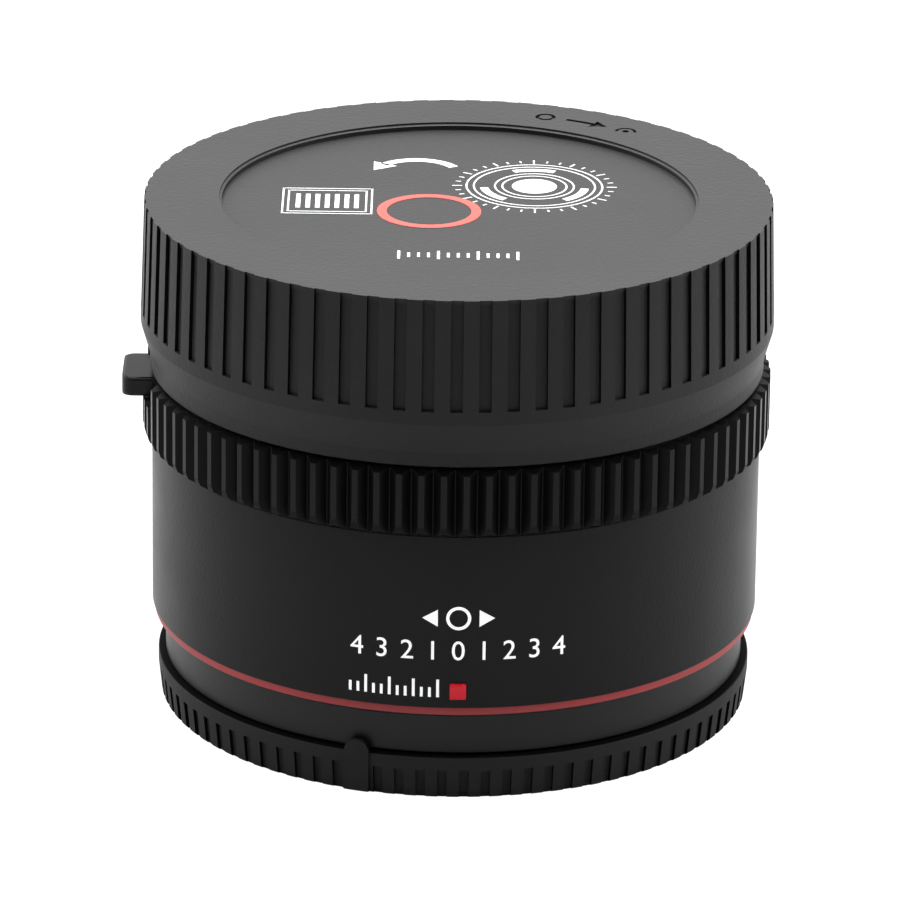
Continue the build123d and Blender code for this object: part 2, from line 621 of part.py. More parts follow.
def rear_cap():
    body = turned(
        (0, 0),
        (rear_cap_foot_radius - REAR_CAP_EDGE, 0),
        (rear_cap_foot_radius, REAR_CAP_EDGE),
        (rear_cap_radius, rear_cap_height - REAR_CAP_LIP),
        (rear_cap_radius, rear_cap_height),
        (rear_cap_radius - REAR_CAP_WALL, rear_cap_height),
        (rear_cap_radius - REAR_CAP_WALL, REAR_CAP_FLOOR),
        (0, REAR_CAP_FLOOR),
    )
    claw_ring_bore = rear_claw_radius + 3 * LOOSE
    claw_ring_radius = claw_ring_bore + REAR_CAP_CLAW_RING_WALL
    claw_top = rear_flange - 2 * LOOSE
    body += ring(claw_ring_bore, claw_ring_radius, REAR_CAP_FLOOR / 2, claw_top)
    half = REAR_CAP_CLAW_ARC_ANGLE / 2
    for angle in angles(CLAW_COUNT, CLAW_GAP_ANGLE):
        body += sector(
            rear_spigot_radius + 2 * LOOSE,
            claw_ring_bore + REAR_CAP_CLAW_RING_WALL / 2,
            claw_top - REAR_CAP_CLAW_THICKNESS,
            claw_top,
            angle - half,
            angle + half,
        )
    line_inner = rear_cap_radius - REAR_CAP_LINE_INSET
    line = ring(line_inner, line_inner + REAR_CAP_LINE_WIDTH, -CUT_OVERRUN, REAR_CAP_LINE_DEPTH)
    half_nub = degrees(NUB_WIDTH / 2 / rear_cap_radius)
    groove_top = rear_cap_height - REAR_CAP_LIP
    groove = Box(
        REAR_CAP_GROOVE_DEPTH + CUT_OVERRUN,
        REAR_CAP_GROOVE_WIDTH,
        groove_top + CUT_OVERRUN,
        align=(Align.MIN, Align.CENTER, Align.MIN),
    )
    slant = degrees(atan2(REAR_CAP_DRAFT, groove_top))
    tool = Pos(-REAR_CAP_GROOVE_DEPTH, 0, 0) * Rot(0, slant, 0) * Pos(0, 0, -CUT_OVERRUN) * groove
    tools = [line]
    for angle in angles(REAR_CAP_GROOVE_COUNT, NUB_ANGLE):
        away = abs((angle - NUB_ANGLE + 180) % 360 - 180)
        if away > half_nub:
            tools.append(at(rear_cap_foot_radius, angle) * tool)
    body = body - tools
    nub_outer = rear_cap_radius + NUB_PROUD
    nub_inner = nub_outer - NUB_THICKNESS
    nub_middle = rear_cap_height + NUB_RISE - NUB_WIDTH / 2
    disc = Rot(0, 90, 0) * Cylinder(NUB_WIDTH / 2, 2 * CUT_OVERRUN)
    round_top = at(nub_outer, NUB_ANGLE, nub_middle) * disc
    stem = at(nub_outer, NUB_ANGLE) * block(2 * CUT_OVERRUN, NUB_WIDTH, REAR_CAP_EDGE, nub_middle)
    shell = ring(nub_inner, nub_outer, 0, rear_cap_height + NUB_RISE + CUT_OVERRUN)
    body += shell & (round_top + stem)
    return one_solid(body)


def rear_mount_ring():
    spigot_foot = rear_flange - REAR_SPIGOT_LENGTH
    body = turned(
        (rear_bore, spigot_foot),
        (rear_spigot_radius, spigot_foot),
        (rear_spigot_radius, rear_flange),
        (rear_flange_radius, rear_flange),
        (rear_flange_radius, rear_flange_top),
        (rear_bore, rear_flange_top),
    )
    half = REAR_CLAW_ARC_ANGLE / 2
    claw_top = spigot_foot + REAR_CLAW_THICKNESS
    inner = rear_spigot_radius - REAR_SPIGOT_WALL / 2
    for angle in angles(CLAW_COUNT, CLAW_ANGLE):
        body += sector(inner, rear_claw_radius, spigot_foot, claw_top, angle - half, angle + half)
    sink = Rot(180, 0, 0) * countersink(REAR_FLANGE_THICKNESS + CUT_OVERRUN)
    directions = angles(REAR_SCREW_COUNT, REAR_SCREW_ANGLE)
    tools = [at(rear_screw_circle, angle, rear_flange) * sink for angle in directions]
    slot = rod(LOCK_SLOT_RADIUS, rear_flange - CUT_OVERRUN, rear_flange + REAR_FLANGE_THICKNESS / 2)
    tools.append(at(rear_screw_circle, LOCK_SLOT_ANGLE) * slot)
    hole_foot = rear_flange_top - REAR_BAFFLE_SCREW_GRIP
    hole = rod(SMALL_SCREW_SHANK_RADIUS, hole_foot, rear_flange_top + CUT_OVERRUN)
    directions = angles(REAR_BAFFLE_SCREW_COUNT, REAR_BAFFLE_SCREW_ANGLE)
    tools += around(hole, rear_baffle_screw_circle, directions)
    return one_solid(body - tools)


def rear_mount_screws():
    length = REAR_FLANGE_THICKNESS - MOUNT_SCREW_SINK + MOUNT_SCREW_GRIP
    screw = Rot(180, 0, 0) * mount_screw(length)
    level = rear_flange + MOUNT_SCREW_SINK
    return [at(rear_screw_circle, a, level) * screw for a in angles(REAR_SCREW_COUNT, REAR_SCREW_ANGLE)]


def weather_seal():
    foot = rear_flange - SEAL_PROUD
    return ring(rear_flange_radius, rear_flange_radius + SEAL_WIDTH, foot, foot + SEAL_HEIGHT)


def rear_barrel_section():
    seal_radius = rear_flange_radius + SEAL_WIDTH
    seal_top = rear_flange - SEAL_PROUD + SEAL_HEIGHT
    ledge_top = seal_top + REAR_SECTION_LEDGE
    return turned(
        (seal_radius + FIT, barrel_foot),
        (section_radius, barrel_foot),
        (section_radius, red_ring_foot - spigot_radius + section_radius),
        (spigot_radius, red_ring_foot),
        (spigot_radius, red_ring_foot + SPIGOT_RISE),
        (barrel_bore, red_ring_foot + SPIGOT_RISE),
        (barrel_bore, red_ring_foot),
        (section_bore, red_ring_foot),
        (section_bore, ledge_top),
        (rear_flange_radius + FIT, ledge_top),
        (rear_flange_radius + FIT, seal_top),
        (seal_radius + FIT, seal_top),
    )


def red_trim_ring():
    return ring(spigot_radius, barrel_radius - RED_RING_INSET, red_ring_foot, barrel_low)


def tab_notch(low, high):
    """The gap that the lever's tab needs in the walls round it, over its whole travel."""
    side = degrees((TAB_WIDTH / 2 + TAB_NOTCH_GAP) / barrel_bore)
    start = LEVER_ANGLE - side
    end = LEVER_ANGLE + side + LEVER_TRAVEL_ANGLE
    inner = barrel_bore - SLEEVE_WALL
    return sector(inner, grip_tip_radius + CUT_OVERRUN, low, high, start, end)


def outer_barrel():
    sleeve_top = grip_top - GRIP_LIP
    spigot_top = red_ring_foot + SPIGOT_RISE + FIT
    body = turned(
        (spigot_radius + FIT, barrel_low),
        (barrel_radius, barrel_low),
        (barrel_radius, barrel_high),
        (sleeve_radius, barrel_high),
        (sleeve_radius, sleeve_top),
        (barrel_bore, sleeve_top),
        (barrel_bore, spigot_top),
        (spigot_radius + FIT, spigot_top),
    )
    index = block(2 * INDEX_DEPTH, INDEX_SIZE, -INDEX_SIZE / 2, INDEX_SIZE / 2)
    pocket = at(barrel_radius, INDEX_ANGLE, index_level) * index
    return one_solid(body - pocket - tab_notch(lever_foot - LOOSE, sleeve_top + CUT_OVERRUN))


def index_mark():
    depth = INDEX_DEPTH + INDEX_PROUD
    bead = Pos((INDEX_PROUD - INDEX_DEPTH) / 2, 0, 0) * Box(depth, INDEX_SIZE, INDEX_SIZE)
    bead = chamfer(bead.faces().sort_by(Axis.X)[-1].edges(), INDEX_EDGE)
    return at(barrel_radius, INDEX_ANGLE, index_level) * bead


def grip_ring():
    tip_half = degrees(GRIP_TIP_WIDTH / 2 / grip_tip_radius)
    floor_radius = grip_tip_radius - GRIP_TOOTH_DEPTH
    floor_half = degrees(GRIP_FLOOR_WIDTH / 2 / floor_radius)
    half_pitch = 180.0 / GRIP_TOOTH_COUNT
    outline = []
    for angle in angles(GRIP_TOOTH_COUNT):
        for radius, turn in (
            (grip_tip_radius, -tip_half),
            (grip_tip_radius, tip_half),
            (floor_radius, half_pitch - floor_half),
            (floor_radius, half_pitch + floor_half),
        ):
            spoke = radians(angle + turn)
            outline.append((radius * cos(spoke), radius * sin(spoke)))
    star = make_face(Polyline(*outline, close=True))
    teeth = Pos(0, 0, barrel_high) * extrude(star, GRIP_HEIGHT)
    bore = sleeve_radius + FIT
    lip_foot = grip_top - GRIP_LIP
    envelope = turned(
        (bore, barrel_high),
        (floor_radius, barrel_high),
        (grip_tip_radius, barrel_high + GRIP_BOTTOM_CHAMFER),
        (grip_tip_radius, grip_top - GRIP_TOP_CHAMFER),
        (floor_radius, grip_top),
        (barrel_bore, grip_top),
        (barrel_bore, lip_foot),
        (bore, lip_foot),
    )
    body = teeth & envelope
    return one_solid(body - tab_notch(lever_foot - LOOSE, grip_top + CUT_OVERRUN))


def front_mount_ring():
    step_top = throat_foot + THROAT_STEP_HEIGHT
    body = turned(
        (THROAT_RADIUS - THROAT_STEP, throat_foot),
        (throat_outer, throat_foot),
        (throat_outer, front_flange_foot),
        (front_flange_radius, front_flange_foot),
        (front_flange_radius, front_flange),
        (THROAT_RADIUS, front_flange),
        (THROAT_RADIUS, step_top),
        (THROAT_RADIUS - THROAT_STEP, step_top),
    )
    claw_top = front_flange - FRONT_CLAW_INSET
    claw_foot = claw_top - FRONT_CLAW_THICKNESS
    half = FRONT_CLAW_ARC_ANGLE / 2
    outer = THROAT_RADIUS + THROAT_WALL / 2
    for angle in angles(CLAW_COUNT, CLAW_ANGLE):
        body += sector(front_claw_radius, outer, claw_foot, claw_top, angle - half, angle + half)
    sink = countersink(FRONT_FLANGE_THICKNESS + CUT_OVERRUN)
    screws = [at(front_screw_circle, a, front_flange) for a in angles(FRONT_SCREW_COUNT, FRONT_SCREW_ANGLE)]
    tools = [place * sink for place in screws]
    pin_hole = rod(LOCK_PIN_RADIUS + RUNNING, front_flange_foot - CUT_OVERRUN, front_flange + CUT_OVERRUN)
    tools.append(at(lock_pin_circle, lock_pin_angle) * pin_hole)
    return one_solid(body - tools)


def front_mount_screws():
    length = FRONT_FLANGE_THICKNESS - MOUNT_SCREW_SINK + MOUNT_SCREW_GRIP
    level = front_flange - MOUNT_SCREW_SINK
    screw = mount_screw(length)
    return [at(front_screw_circle, a, level) * screw for a in angles(FRONT_SCREW_COUNT, FRONT_SCREW_ANGLE)]


def bayonet_spring():
    """A thin ring on the throat's step, with an arched leaf under each claw."""
    foot = throat_foot + THROAT_STEP_HEIGHT
    plate = ring(THROAT_RADIUS - SPRING_PLATE_WIDTH, THROAT_RADIUS - FIT, foot, foot + SPRING_PLATE)
    half = LEAF_LENGTH / 2
    low = [(-half, 0), (0, LEAF_RISE), (half, 0)]
    high = [(half, SPRING_PLATE), (0, LEAF_RISE + SPRING_PLATE), (-half, SPRING_PLATE)]
    with_outline = [
        ThreePointArc(*low),
        Line(low[-1], high[0]),
        ThreePointArc(*high),
        Line(high[-1], low[0]),
    ]
    leaf = extrude(Plane.YZ * make_face(with_outline), LEAF_WIDTH)
    circle = sqrt((THROAT_RADIUS - 2 * FIT) ** 2 - half**2) - LEAF_WIDTH
    for angle in angles(CLAW_COUNT, CLAW_ANGLE):
        plate += at(circle, angle, foot) * leaf
    return one_solid(plate)


def main_frame():
    ledge_top = rear_flange - SEAL_PROUD + SEAL_HEIGHT + REAR_SECTION_LEDGE
    body = turned(
        (frame_base_bore, rear_flange_top),
        (rear_flange_radius, rear_flange_top),
        (rear_flange_radius, ledge_top + FIT),
        (section_bore - RUNNING, ledge_top + FIT),
        (section_bore - RUNNING, red_ring_foot + FIT),
        (frame_radius, red_ring_foot + FIT),
        (frame_radius, front_flange_foot),
        (collar_bore, front_flange_foot),
        (collar_bore, baffle_foot),
        (collar_ledge_bore, baffle_foot),
        (collar_ledge_bore, collar_foot),
        (frame_bore, collar_foot),
        (frame_bore, web_top),
        (frame_web_bore, web_top),
        (frame_web_bore, web_foot),
        (frame_bore, web_foot),
        (frame_bore, frame_base_top),
        (frame_base_bore, frame_base_top),
    )
    boss = rod(BOARD_BOSS_RADIUS, board_top, web_foot + FRAME_WEB_THICKNESS / 2)
    for copy in around(boss, board_boss_circle, angles(BOARD_BOSS_COUNT, BOARD_BOSS_ANGLE)):
        body += copy
    tools = []
    for angle in angles(REAR_SCREW_COUNT, REAR_SCREW_ANGLE):
        hole = rod(MOUNT_SCREW_SHANK_RADIUS, rear_flange, rear_flange_top + MOUNT_SCREW_GRIP)
        tools.append(at(rear_screw_circle, angle) * hole)
    for angle in angles(FRONT_SCREW_COUNT, FRONT_SCREW_ANGLE):
        hole = rod(MOUNT_SCREW_SHANK_RADIUS, front_flange_foot - MOUNT_SCREW_GRIP, front_flange)
        tools.append(at(front_screw_circle, angle) * hole)
    for angle in angles(TUBE_SCREW_COUNT, TUBE_SCREW_ANGLE):
        hole = rod(SMALL_SCREW_SHANK_RADIUS, web_top - SMALL_SCREW_GRIP, web_top + CUT_OVERRUN)
        tools.append(at(tube_screw_circle, angle) * hole)
    for angle in angles(BOARD_BOSS_COUNT, BOARD_BOSS_ANGLE):
        hole = rod(SMALL_SCREW_SHANK_RADIUS, board_foot, board_top + SMALL_SCREW_GRIP)
        tools.append(at(board_boss_circle, angle) * hole)
    tools.append(cable_slot(front_cable_circle, web_foot, web_top))
    inner_wall, outer_wall = collar_bore - CUT_OVERRUN, frame_radius + CUT_OVERRUN
    spring_span = degrees((LEVER_SPRING_LENGTH + 2 * LEVER_SPRING_POST) / lever_middle)
    trail = LEVER_ANGLE - LEVER_TRAIL_ANGLE
    above = front_flange_foot + CUT_OVERRUN
    tools.append(
        sector(inner_wall, outer_wall, lever_foot - RUNNING, above, trail - spring_span, pocket_end)
    )
    ramp_start = LEVER_LEAD_ANGLE - degrees((ramp_travel + RAMP_LAND + LOOSE) / lock_pin_circle)
    tools.append(sector(inner_wall, outer_wall, pocket_floor, above, LEVER_ANGLE + ramp_start, pocket_end))
    guide = rod(LOCK_PIN_STEM_RADIUS + RUNNING, collar_foot - CUT_OVERRUN, above)
    tools.append(at(lock_pin_circle, lock_pin_angle) * guide)
    body = body - tools
    post_angle = trail - degrees((LEVER_SPRING_LENGTH + LEVER_SPRING_POST) / lever_middle)
    post_top = lever_top - LEVER_THICKNESS / 4
    post = rod(LEVER_SPRING_POST, lever_foot - LEVER_THICKNESS / 4, post_top)
    body += at(lever_middle, post_angle) * post
    return one_solid(body)


def release_lever():
    trail = LEVER_ANGLE - LEVER_TRAIL_ANGLE
    lead = LEVER_ANGLE + LEVER_LEAD_ANGLE
    body = sector(lever_inner, lever_outer, lever_foot, lever_top, trail, lead)
    tab_length = tab_reach - lever_middle
    tab = block(tab_length, TAB_WIDTH, lever_foot, lever_top)
    outer_edges = tab.edges().filter_by(Axis.Z).group_by(Axis.X)[-1]
    tab = fillet(outer_edges, TAB_CORNER)
    body += at(lever_middle + tab_length / 2, LEVER_ANGLE) * tab
    deep = lever_foot - RAMP_DROP
    bury = LEVER_THICKNESS / 2
    wedge_outline = [
        (0, lever_foot),
        (-ramp_travel, deep),
        (-ramp_travel - RAMP_LAND, deep),
        (-ramp_travel - RAMP_LAND, lever_foot + bury),
        (0, lever_foot + bury),
    ]
    wedge = extrude(Plane.YZ * make_face(Polyline(*wedge_outline, close=True)), PIN_ARM_WIDTH / 2, both=True)
    body += at(lock_pin_circle, lead) * wedge
    body += at(lever_middle, trail) * rod(LEVER_SPRING_POST, lever_foot, lever_top)
    return one_solid(body)


def lever_spring():
    gap_start = LEVER_ANGLE - LEVER_TRAIL_ANGLE - degrees((LEVER_SPRING_POST + FIT) / lever_middle)
    length = LEVER_SPRING_LENGTH - LEVER_SPRING_POST - 2 * FIT
    spring = coil(LEVER_SPRING_RADIUS, LEVER_SPRING_WIRE_RADIUS, 0, length, LEVER_SPRING_TURN_COUNT)
    level = (lever_foot + lever_top) / 2
    middle_angle = gap_start - degrees(length / 2 / lever_middle)
    lying = Rot(-90, 0, 0) * Pos(0, 0, -length / 2) * spring
    return at(lever_middle, middle_angle, level) * lying


def lens_lock_pin():
    top = front_flange + LOCK_PIN_PROUD
    pin = rod(LOCK_PIN_RADIUS, arm_foot, top)
    pin = chamfer(pin.edges().sort_by(Axis.Z)[-1], LOCK_PIN_RADIUS / 3)
    stem = rod(LOCK_PIN_STEM_RADIUS, collar_foot + LOCK_PIN_STEM_REACH, arm_foot)
    arm = Pos(0, -PIN_ARM_LENGTH / 2, 0) * block(PIN_ARM_WIDTH, PIN_ARM_LENGTH, arm_foot, arm_top)
    return one_solid(at(lock_pin_circle, lock_pin_angle) * (pin + stem + arm))


def lock_pin_spring():
    foot = pocket_floor + FIT
    top = arm_foot - FIT
    spring = coil(LOCK_SPRING_RADIUS, LOCK_SPRING_WIRE_RADIUS, foot, top, LOCK_SPRING_TURN_COUNT)
    return at(lock_pin_circle, lock_pin_angle) * spring


def contact_angles():
    first = CONTACT_ANGLE - CONTACT_PITCH_ANGLE * (CONTACT_COUNT - 1) / 2
    return [first + CONTACT_PITCH_ANGLE * i for i in range(CONTACT_COUNT)]


def contact_screw_angles():
    return [CONTACT_ANGLE - CONTACT_SCREW_ANGLE, CONTACT_ANGLE + CONTACT_SCREW_ANGLE]


def cable_slot(circle, low, high):
    depth = CABLE_THICKNESS + 2 * CABLE_SLOT_GAP
    tool = block(depth, CABLE_WIDTH + 2 * CABLE_SLOT_GAP, low - CUT_OVERRUN, high + CUT_OVERRUN)
    return at(circle, CONTACT_ANGLE) * tool


def front_baffle():
    body = ring(cell_flange_radius + BAFFLE_LENS_GAP, throat_outer, baffle_foot, baffle_top)
    hole = rod(SMALL_SCREW_SHANK_RADIUS, baffle_foot - CUT_OVERRUN, baffle_top + CUT_OVERRUN)
    tools = around(hole, contact_circle, contact_screw_angles())
    tools.append(cable_slot(front_cable_circle, baffle_foot, baffle_top))
    return one_solid(body - tools)


def front_contact_block():
    half, ear = CONTACT_BLOCK_ANGLE / 2, CONTACT_EAR_ANGLE / 2
    low, high = CONTACT_ANGLE - half, CONTACT_ANGLE + half
    body = sector(contact_block_inner, contact_block_outer, baffle_top, block_top, low, high)
    low, high = CONTACT_ANGLE - ear, CONTACT_ANGLE + ear
    ear_top = baffle_top + CONTACT_EAR_THICKNESS
    body += sector(contact_block_inner, contact_block_outer, baffle_top, ear_top, low, high)
    roof = block_top - CONTACT_BLOCK_ROOF
    cavity = rod(CONTACT_PIN_FLANGE_RADIUS + RUNNING, baffle_top - CUT_OVERRUN, roof)
    neck = rod(CONTACT_PIN_RADIUS + RUNNING, baffle_top, block_top + CUT_OVERRUN)
    tools = around(cavity, contact_circle, contact_angles())
    tools += around(neck, contact_circle, contact_angles())
    hole = rod(SMALL_SCREW_SHANK_RADIUS, baffle_top - CUT_OVERRUN, block_top)
    tools += around(hole, contact_circle, contact_screw_angles())
    return one_solid(body - tools)


def contact_pin():
    """One sprung contact, with a round tip and a flange that stops it under the block's roof."""
    tip = block_top + CONTACT_PIN_PROUD
    flange_top = block_top - CONTACT_BLOCK_ROOF - FIT
    shaft = rod(CONTACT_PIN_RADIUS, flange_top, tip)
    shaft = fillet(shaft.edges().sort_by(Axis.Z)[-1], CONTACT_PIN_RADIUS - FIT)
    flange = rod(CONTACT_PIN_FLANGE_RADIUS, flange_top - CONTACT_PIN_FLANGE, flange_top)
    stem_foot = baffle_top + CONTACT_PIN_TRAVEL + LOOSE
    stem = rod(CONTACT_PIN_STEM_RADIUS, stem_foot, flange_top - CONTACT_PIN_FLANGE)
    return one_solid(shaft + flange + stem)


def contact_pin_springs():
    top = block_top - CONTACT_BLOCK_ROOF - CONTACT_PIN_FLANGE - 2 * FIT
    spring = coil(
        CONTACT_SPRING_RADIUS, CONTACT_SPRING_WIRE_RADIUS, baffle_top + FIT, top, CONTACT_SPRING_TURN_COUNT
    )
    return around(spring, contact_circle, contact_angles())


def front_contact_screws():
    screw = small_screw(CONTACT_EAR_THICKNESS + BAFFLE_THICKNESS)
    level = baffle_top + CONTACT_EAR_THICKNESS
    return [at(contact_circle, angle, level) * screw for angle in contact_screw_angles()]


def front_cell():
    spigot_foot = cell_flange_foot - CELL_SPIGOT_LENGTH
    flange_top = cell_flange_foot + CELL_FLANGE_THICKNESS
    return turned(
        (cell_throat_radius, spigot_foot),
        (cell_spigot_radius, spigot_foot),
        (cell_spigot_radius, cell_flange_foot),
        (cell_flange_radius, cell_flange_foot),
        (cell_flange_radius, flange_top),
        (nose_radius, flange_top + CELL_SHOULDER),
        (nose_radius, nose_top - NOSE_EDGE),
        (nose_radius - NOSE_EDGE, nose_top),
        (cell_bore + NOSE_BEVEL, nose_top),
        (cell_bore, nose_top - NOSE_BEVEL),
        (cell_bore, lens_3_foot),
        (cell_throat_radius, lens_3_foot),
    )


def front_retaining_ring():
    low = lens_1_foot + LENS_1_EDGE
    return spacer(cell_bore, low, low + FRONT_RING_HEIGHT, LENS_1_UPPER)


def lens_tube():
    flange_top = web_top + TUBE_FLANGE_THICKNESS
    head_foot = tube_top - TUBE_HEAD_RISE
    ledge_foot = tube_ledge_top - TUBE_LEDGE
    body = turned(
        (tube_bore, tube_foot),
        (tube_radius, tube_foot),
        (tube_radius, web_top),
        (tube_flange_radius, web_top),
        (tube_flange_radius, flange_top),
        (tube_radius, flange_top),
        (tube_radius, head_foot - TUBE_HEAD_CONE),
        (cell_flange_radius, head_foot),
        (cell_flange_radius, tube_top),
        (cell_spigot_radius + FIT, tube_top),
        (cell_spigot_radius + FIT, tube_ledge_top),
        (tube_bore - TUBE_LEDGE_WIDTH, tube_ledge_top),
        (tube_bore - TUBE_LEDGE_WIDTH, ledge_foot),
        (tube_bore, ledge_foot),
    )
    hole = rod(SMALL_SCREW_SHANK_RADIUS, web_top - CUT_OVERRUN, flange_top + CUT_OVERRUN)
    return one_solid(body - around(hole, tube_screw_circle, angles(TUBE_SCREW_COUNT, TUBE_SCREW_ANGLE)))


def lens_tube_screws():
    screw = small_screw(TUBE_FLANGE_THICKNESS + SMALL_SCREW_GRIP)
    level = web_top + TUBE_FLANGE_THICKNESS
    return [at(tube_screw_circle, a, level) * screw for a in angles(TUBE_SCREW_COUNT, TUBE_SCREW_ANGLE)]


def save_glass():
    """The eight glasses, the four spacers between them and the ring behind the last one."""
    front, rear = front_lens_radius, rear_lens_radius
    save("lens_1", lens(front, lens_1_foot, LENS_1_EDGE, LENS_1_UPPER, LENS_1_LOWER))
    save("lens_2", lens(front, lens_2_foot, LENS_2_EDGE, LENS_2_UPPER, LENS_2_LOWER))
    save("lens_3", lens(front, lens_3_foot, LENS_3_EDGE, -LENS_2_LOWER, LENS_3_LOWER))
    save("lens_4", lens(rear, lens_4_foot, LENS_4_EDGE, LENS_4_UPPER, LENS_4_LOWER))
    save("lens_5", lens(rear, lens_5_foot, LENS_5_EDGE, LENS_5_UPPER, LENS_5_LOWER))
    save("lens_6", lens(rear, lens_6_foot, LENS_6_EDGE, -LENS_5_LOWER, LENS_6_LOWER))
    save("lens_7", lens(rear, lens_7_foot, LENS_7_EDGE, LENS_7_UPPER, LENS_7_LOWER))
    save("lens_8", lens(rear, lens_8_foot, LENS_8_EDGE, LENS_8_UPPER, LENS_8_LOWER))
    save("spacer_1", spacer(cell_bore, lens_2_foot + LENS_2_EDGE, lens_1_foot, LENS_2_UPPER, LENS_1_LOWER))
    save("spacer_2", spacer(tube_bore, lens_5_foot + LENS_5_EDGE, lens_4_foot, LENS_5_UPPER, LENS_4_LOWER))
    save("spacer_3", spacer(tube_bore, lens_7_foot + LENS_7_EDGE, lens_6_foot, LENS_7_UPPER, LENS_6_LOWER))
    save("spacer_4", spacer(tube_bore, lens_8_foot + LENS_8_EDGE, lens_7_foot, LENS_8_UPPER, LENS_7_LOWER))
    ring_foot = lens_8_foot - REAR_RING_HEIGHT
    save("rear_retaining_ring", spacer(tube_bore, ring_foot, lens_8_foot, 0, LENS_8_LOWER))


def rear_baffle():
    rim_outer = rear_bore - RUNNING
    rim_inner = rim_outer - REAR_BAFFLE_RIM_WALL
    rim_foot = rear_flange_top - REAR_BAFFLE_RIM_DEPTH
    outer = frame_base_bore - 2 * RUNNING
    body = turned(
        (0, plate_foot),
        (rim_inner, plate_foot),
        (rim_inner, rim_foot),
        (rim_outer, rim_foot),
        (rim_outer, rear_flange_top),
        (outer, rear_flange_top),
        (outer, plate_top),
        (0, plate_top),
    )
    length = 2 * (rear_lens_radius - REAR_WINDOW_END_INSET)
    width = 2 * (rear_lens_radius - REAR_WINDOW_SIDE_INSET)
    outline = RectangleRounded(length, width, REAR_WINDOW_CORNER)
    window = Pos(0, 0, plate_foot - CUT_OVERRUN) * extrude(outline, REAR_BAFFLE_PLATE + 2 * CUT_OVERRUN)
    hole = rod(SMALL_SCREW_SHANK_RADIUS, rear_flange_top - CUT_OVERRUN, plate_top + CUT_OVERRUN)
    directions = angles(REAR_BAFFLE_SCREW_COUNT, REAR_BAFFLE_SCREW_ANGLE)
    tools = [window, cable_slot(rear_cable_circle, plate_foot, plate_top)]
    return one_solid(body - tools - around(hole, rear_baffle_screw_circle, directions))


def rear_baffle_screws():
    screw = small_screw(REAR_BAFFLE_FLANGE + REAR_BAFFLE_SCREW_GRIP)
    directions = angles(REAR_BAFFLE_SCREW_COUNT, REAR_BAFFLE_SCREW_ANGLE)
    return [at(rear_baffle_screw_circle, angle, plate_top) * screw for angle in directions]


def rear_contact_block():
    outer = rear_bore - RUNNING - REAR_BAFFLE_RIM_WALL - FIT
    half = CONTACT_BLOCK_ANGLE / 2
    start, end = CONTACT_ANGLE - half, CONTACT_ANGLE + half
    return sector(rear_block_inner, outer, plate_foot - REAR_BLOCK_HEIGHT, plate_foot, start, end)


def rear_contact_pads():
    outer = rear_bore - RUNNING - REAR_BAFFLE_RIM_WALL - FIT
    foot = plate_foot - REAR_BLOCK_HEIGHT
    pad = block(REAR_PAD_LENGTH, REAR_PAD_WIDTH, foot - REAR_PAD_THICKNESS, foot)
    return around(pad, (rear_block_inner + outer) / 2, contact_angles())


def main_board():
    body = ring(board_inner, board_outer, board_foot, board_top)
    hole = rod(SMALL_SCREW_SHANK_RADIUS, board_foot - CUT_OVERRUN, board_top + CUT_OVERRUN)
    return one_solid(body - around(hole, board_boss_circle, angles(BOARD_BOSS_COUNT, BOARD_BOSS_ANGLE)))


def board_chips():
    """Two large chips, three small ones and a row of tiny parts on the board's upper face."""
    big = block(BIG_CHIP, BIG_CHIP, board_top, board_top + CHIP_HEIGHT)
    small = block(SMALL_CHIP, SMALL_CHIP, board_top, board_top + CHIP_HEIGHT)
    tiny = block(SMALL_PART_WIDTH, SMALL_PART_LENGTH, board_top, board_top + SMALL_PART_HEIGHT)
    chips = around(big, chip_circle, BIG_CHIP_ANGLES)
    chips += around(small, chip_circle, SMALL_CHIP_ANGLES)
    row = [SMALL_PART_ANGLE + SMALL_PART_PITCH_ANGLE * i for i in range(SMALL_PART_COUNT)]
    return chips + around(tiny, chip_circle, row)


def board_screws():
    screw = Rot(180, 0, 0) * small_screw(BOARD_THICKNESS + SMALL_SCREW_GRIP)
    directions = angles(BOARD_BOSS_COUNT, BOARD_BOSS_ANGLE)
    return [at(board_boss_circle, angle, board_foot) * screw for angle in directions]


def board_connectors():
    front = block(CONNECTOR_DEPTH, CONNECTOR_WIDTH, board_top, board_top + CONNECTOR_HEIGHT)
    rear = block(CONNECTOR_DEPTH, CONNECTOR_WIDTH, board_foot - CONNECTOR_HEIGHT, board_foot)
    return [at(front_cable_circle, CONTACT_ANGLE) * front, at(rear_cable_circle, CONTACT_ANGLE) * rear]


def flat_cable(circle, low, high):
    return at(circle, CONTACT_ANGLE) * block(CABLE_THICKNESS, CABLE_WIDTH, low, high)


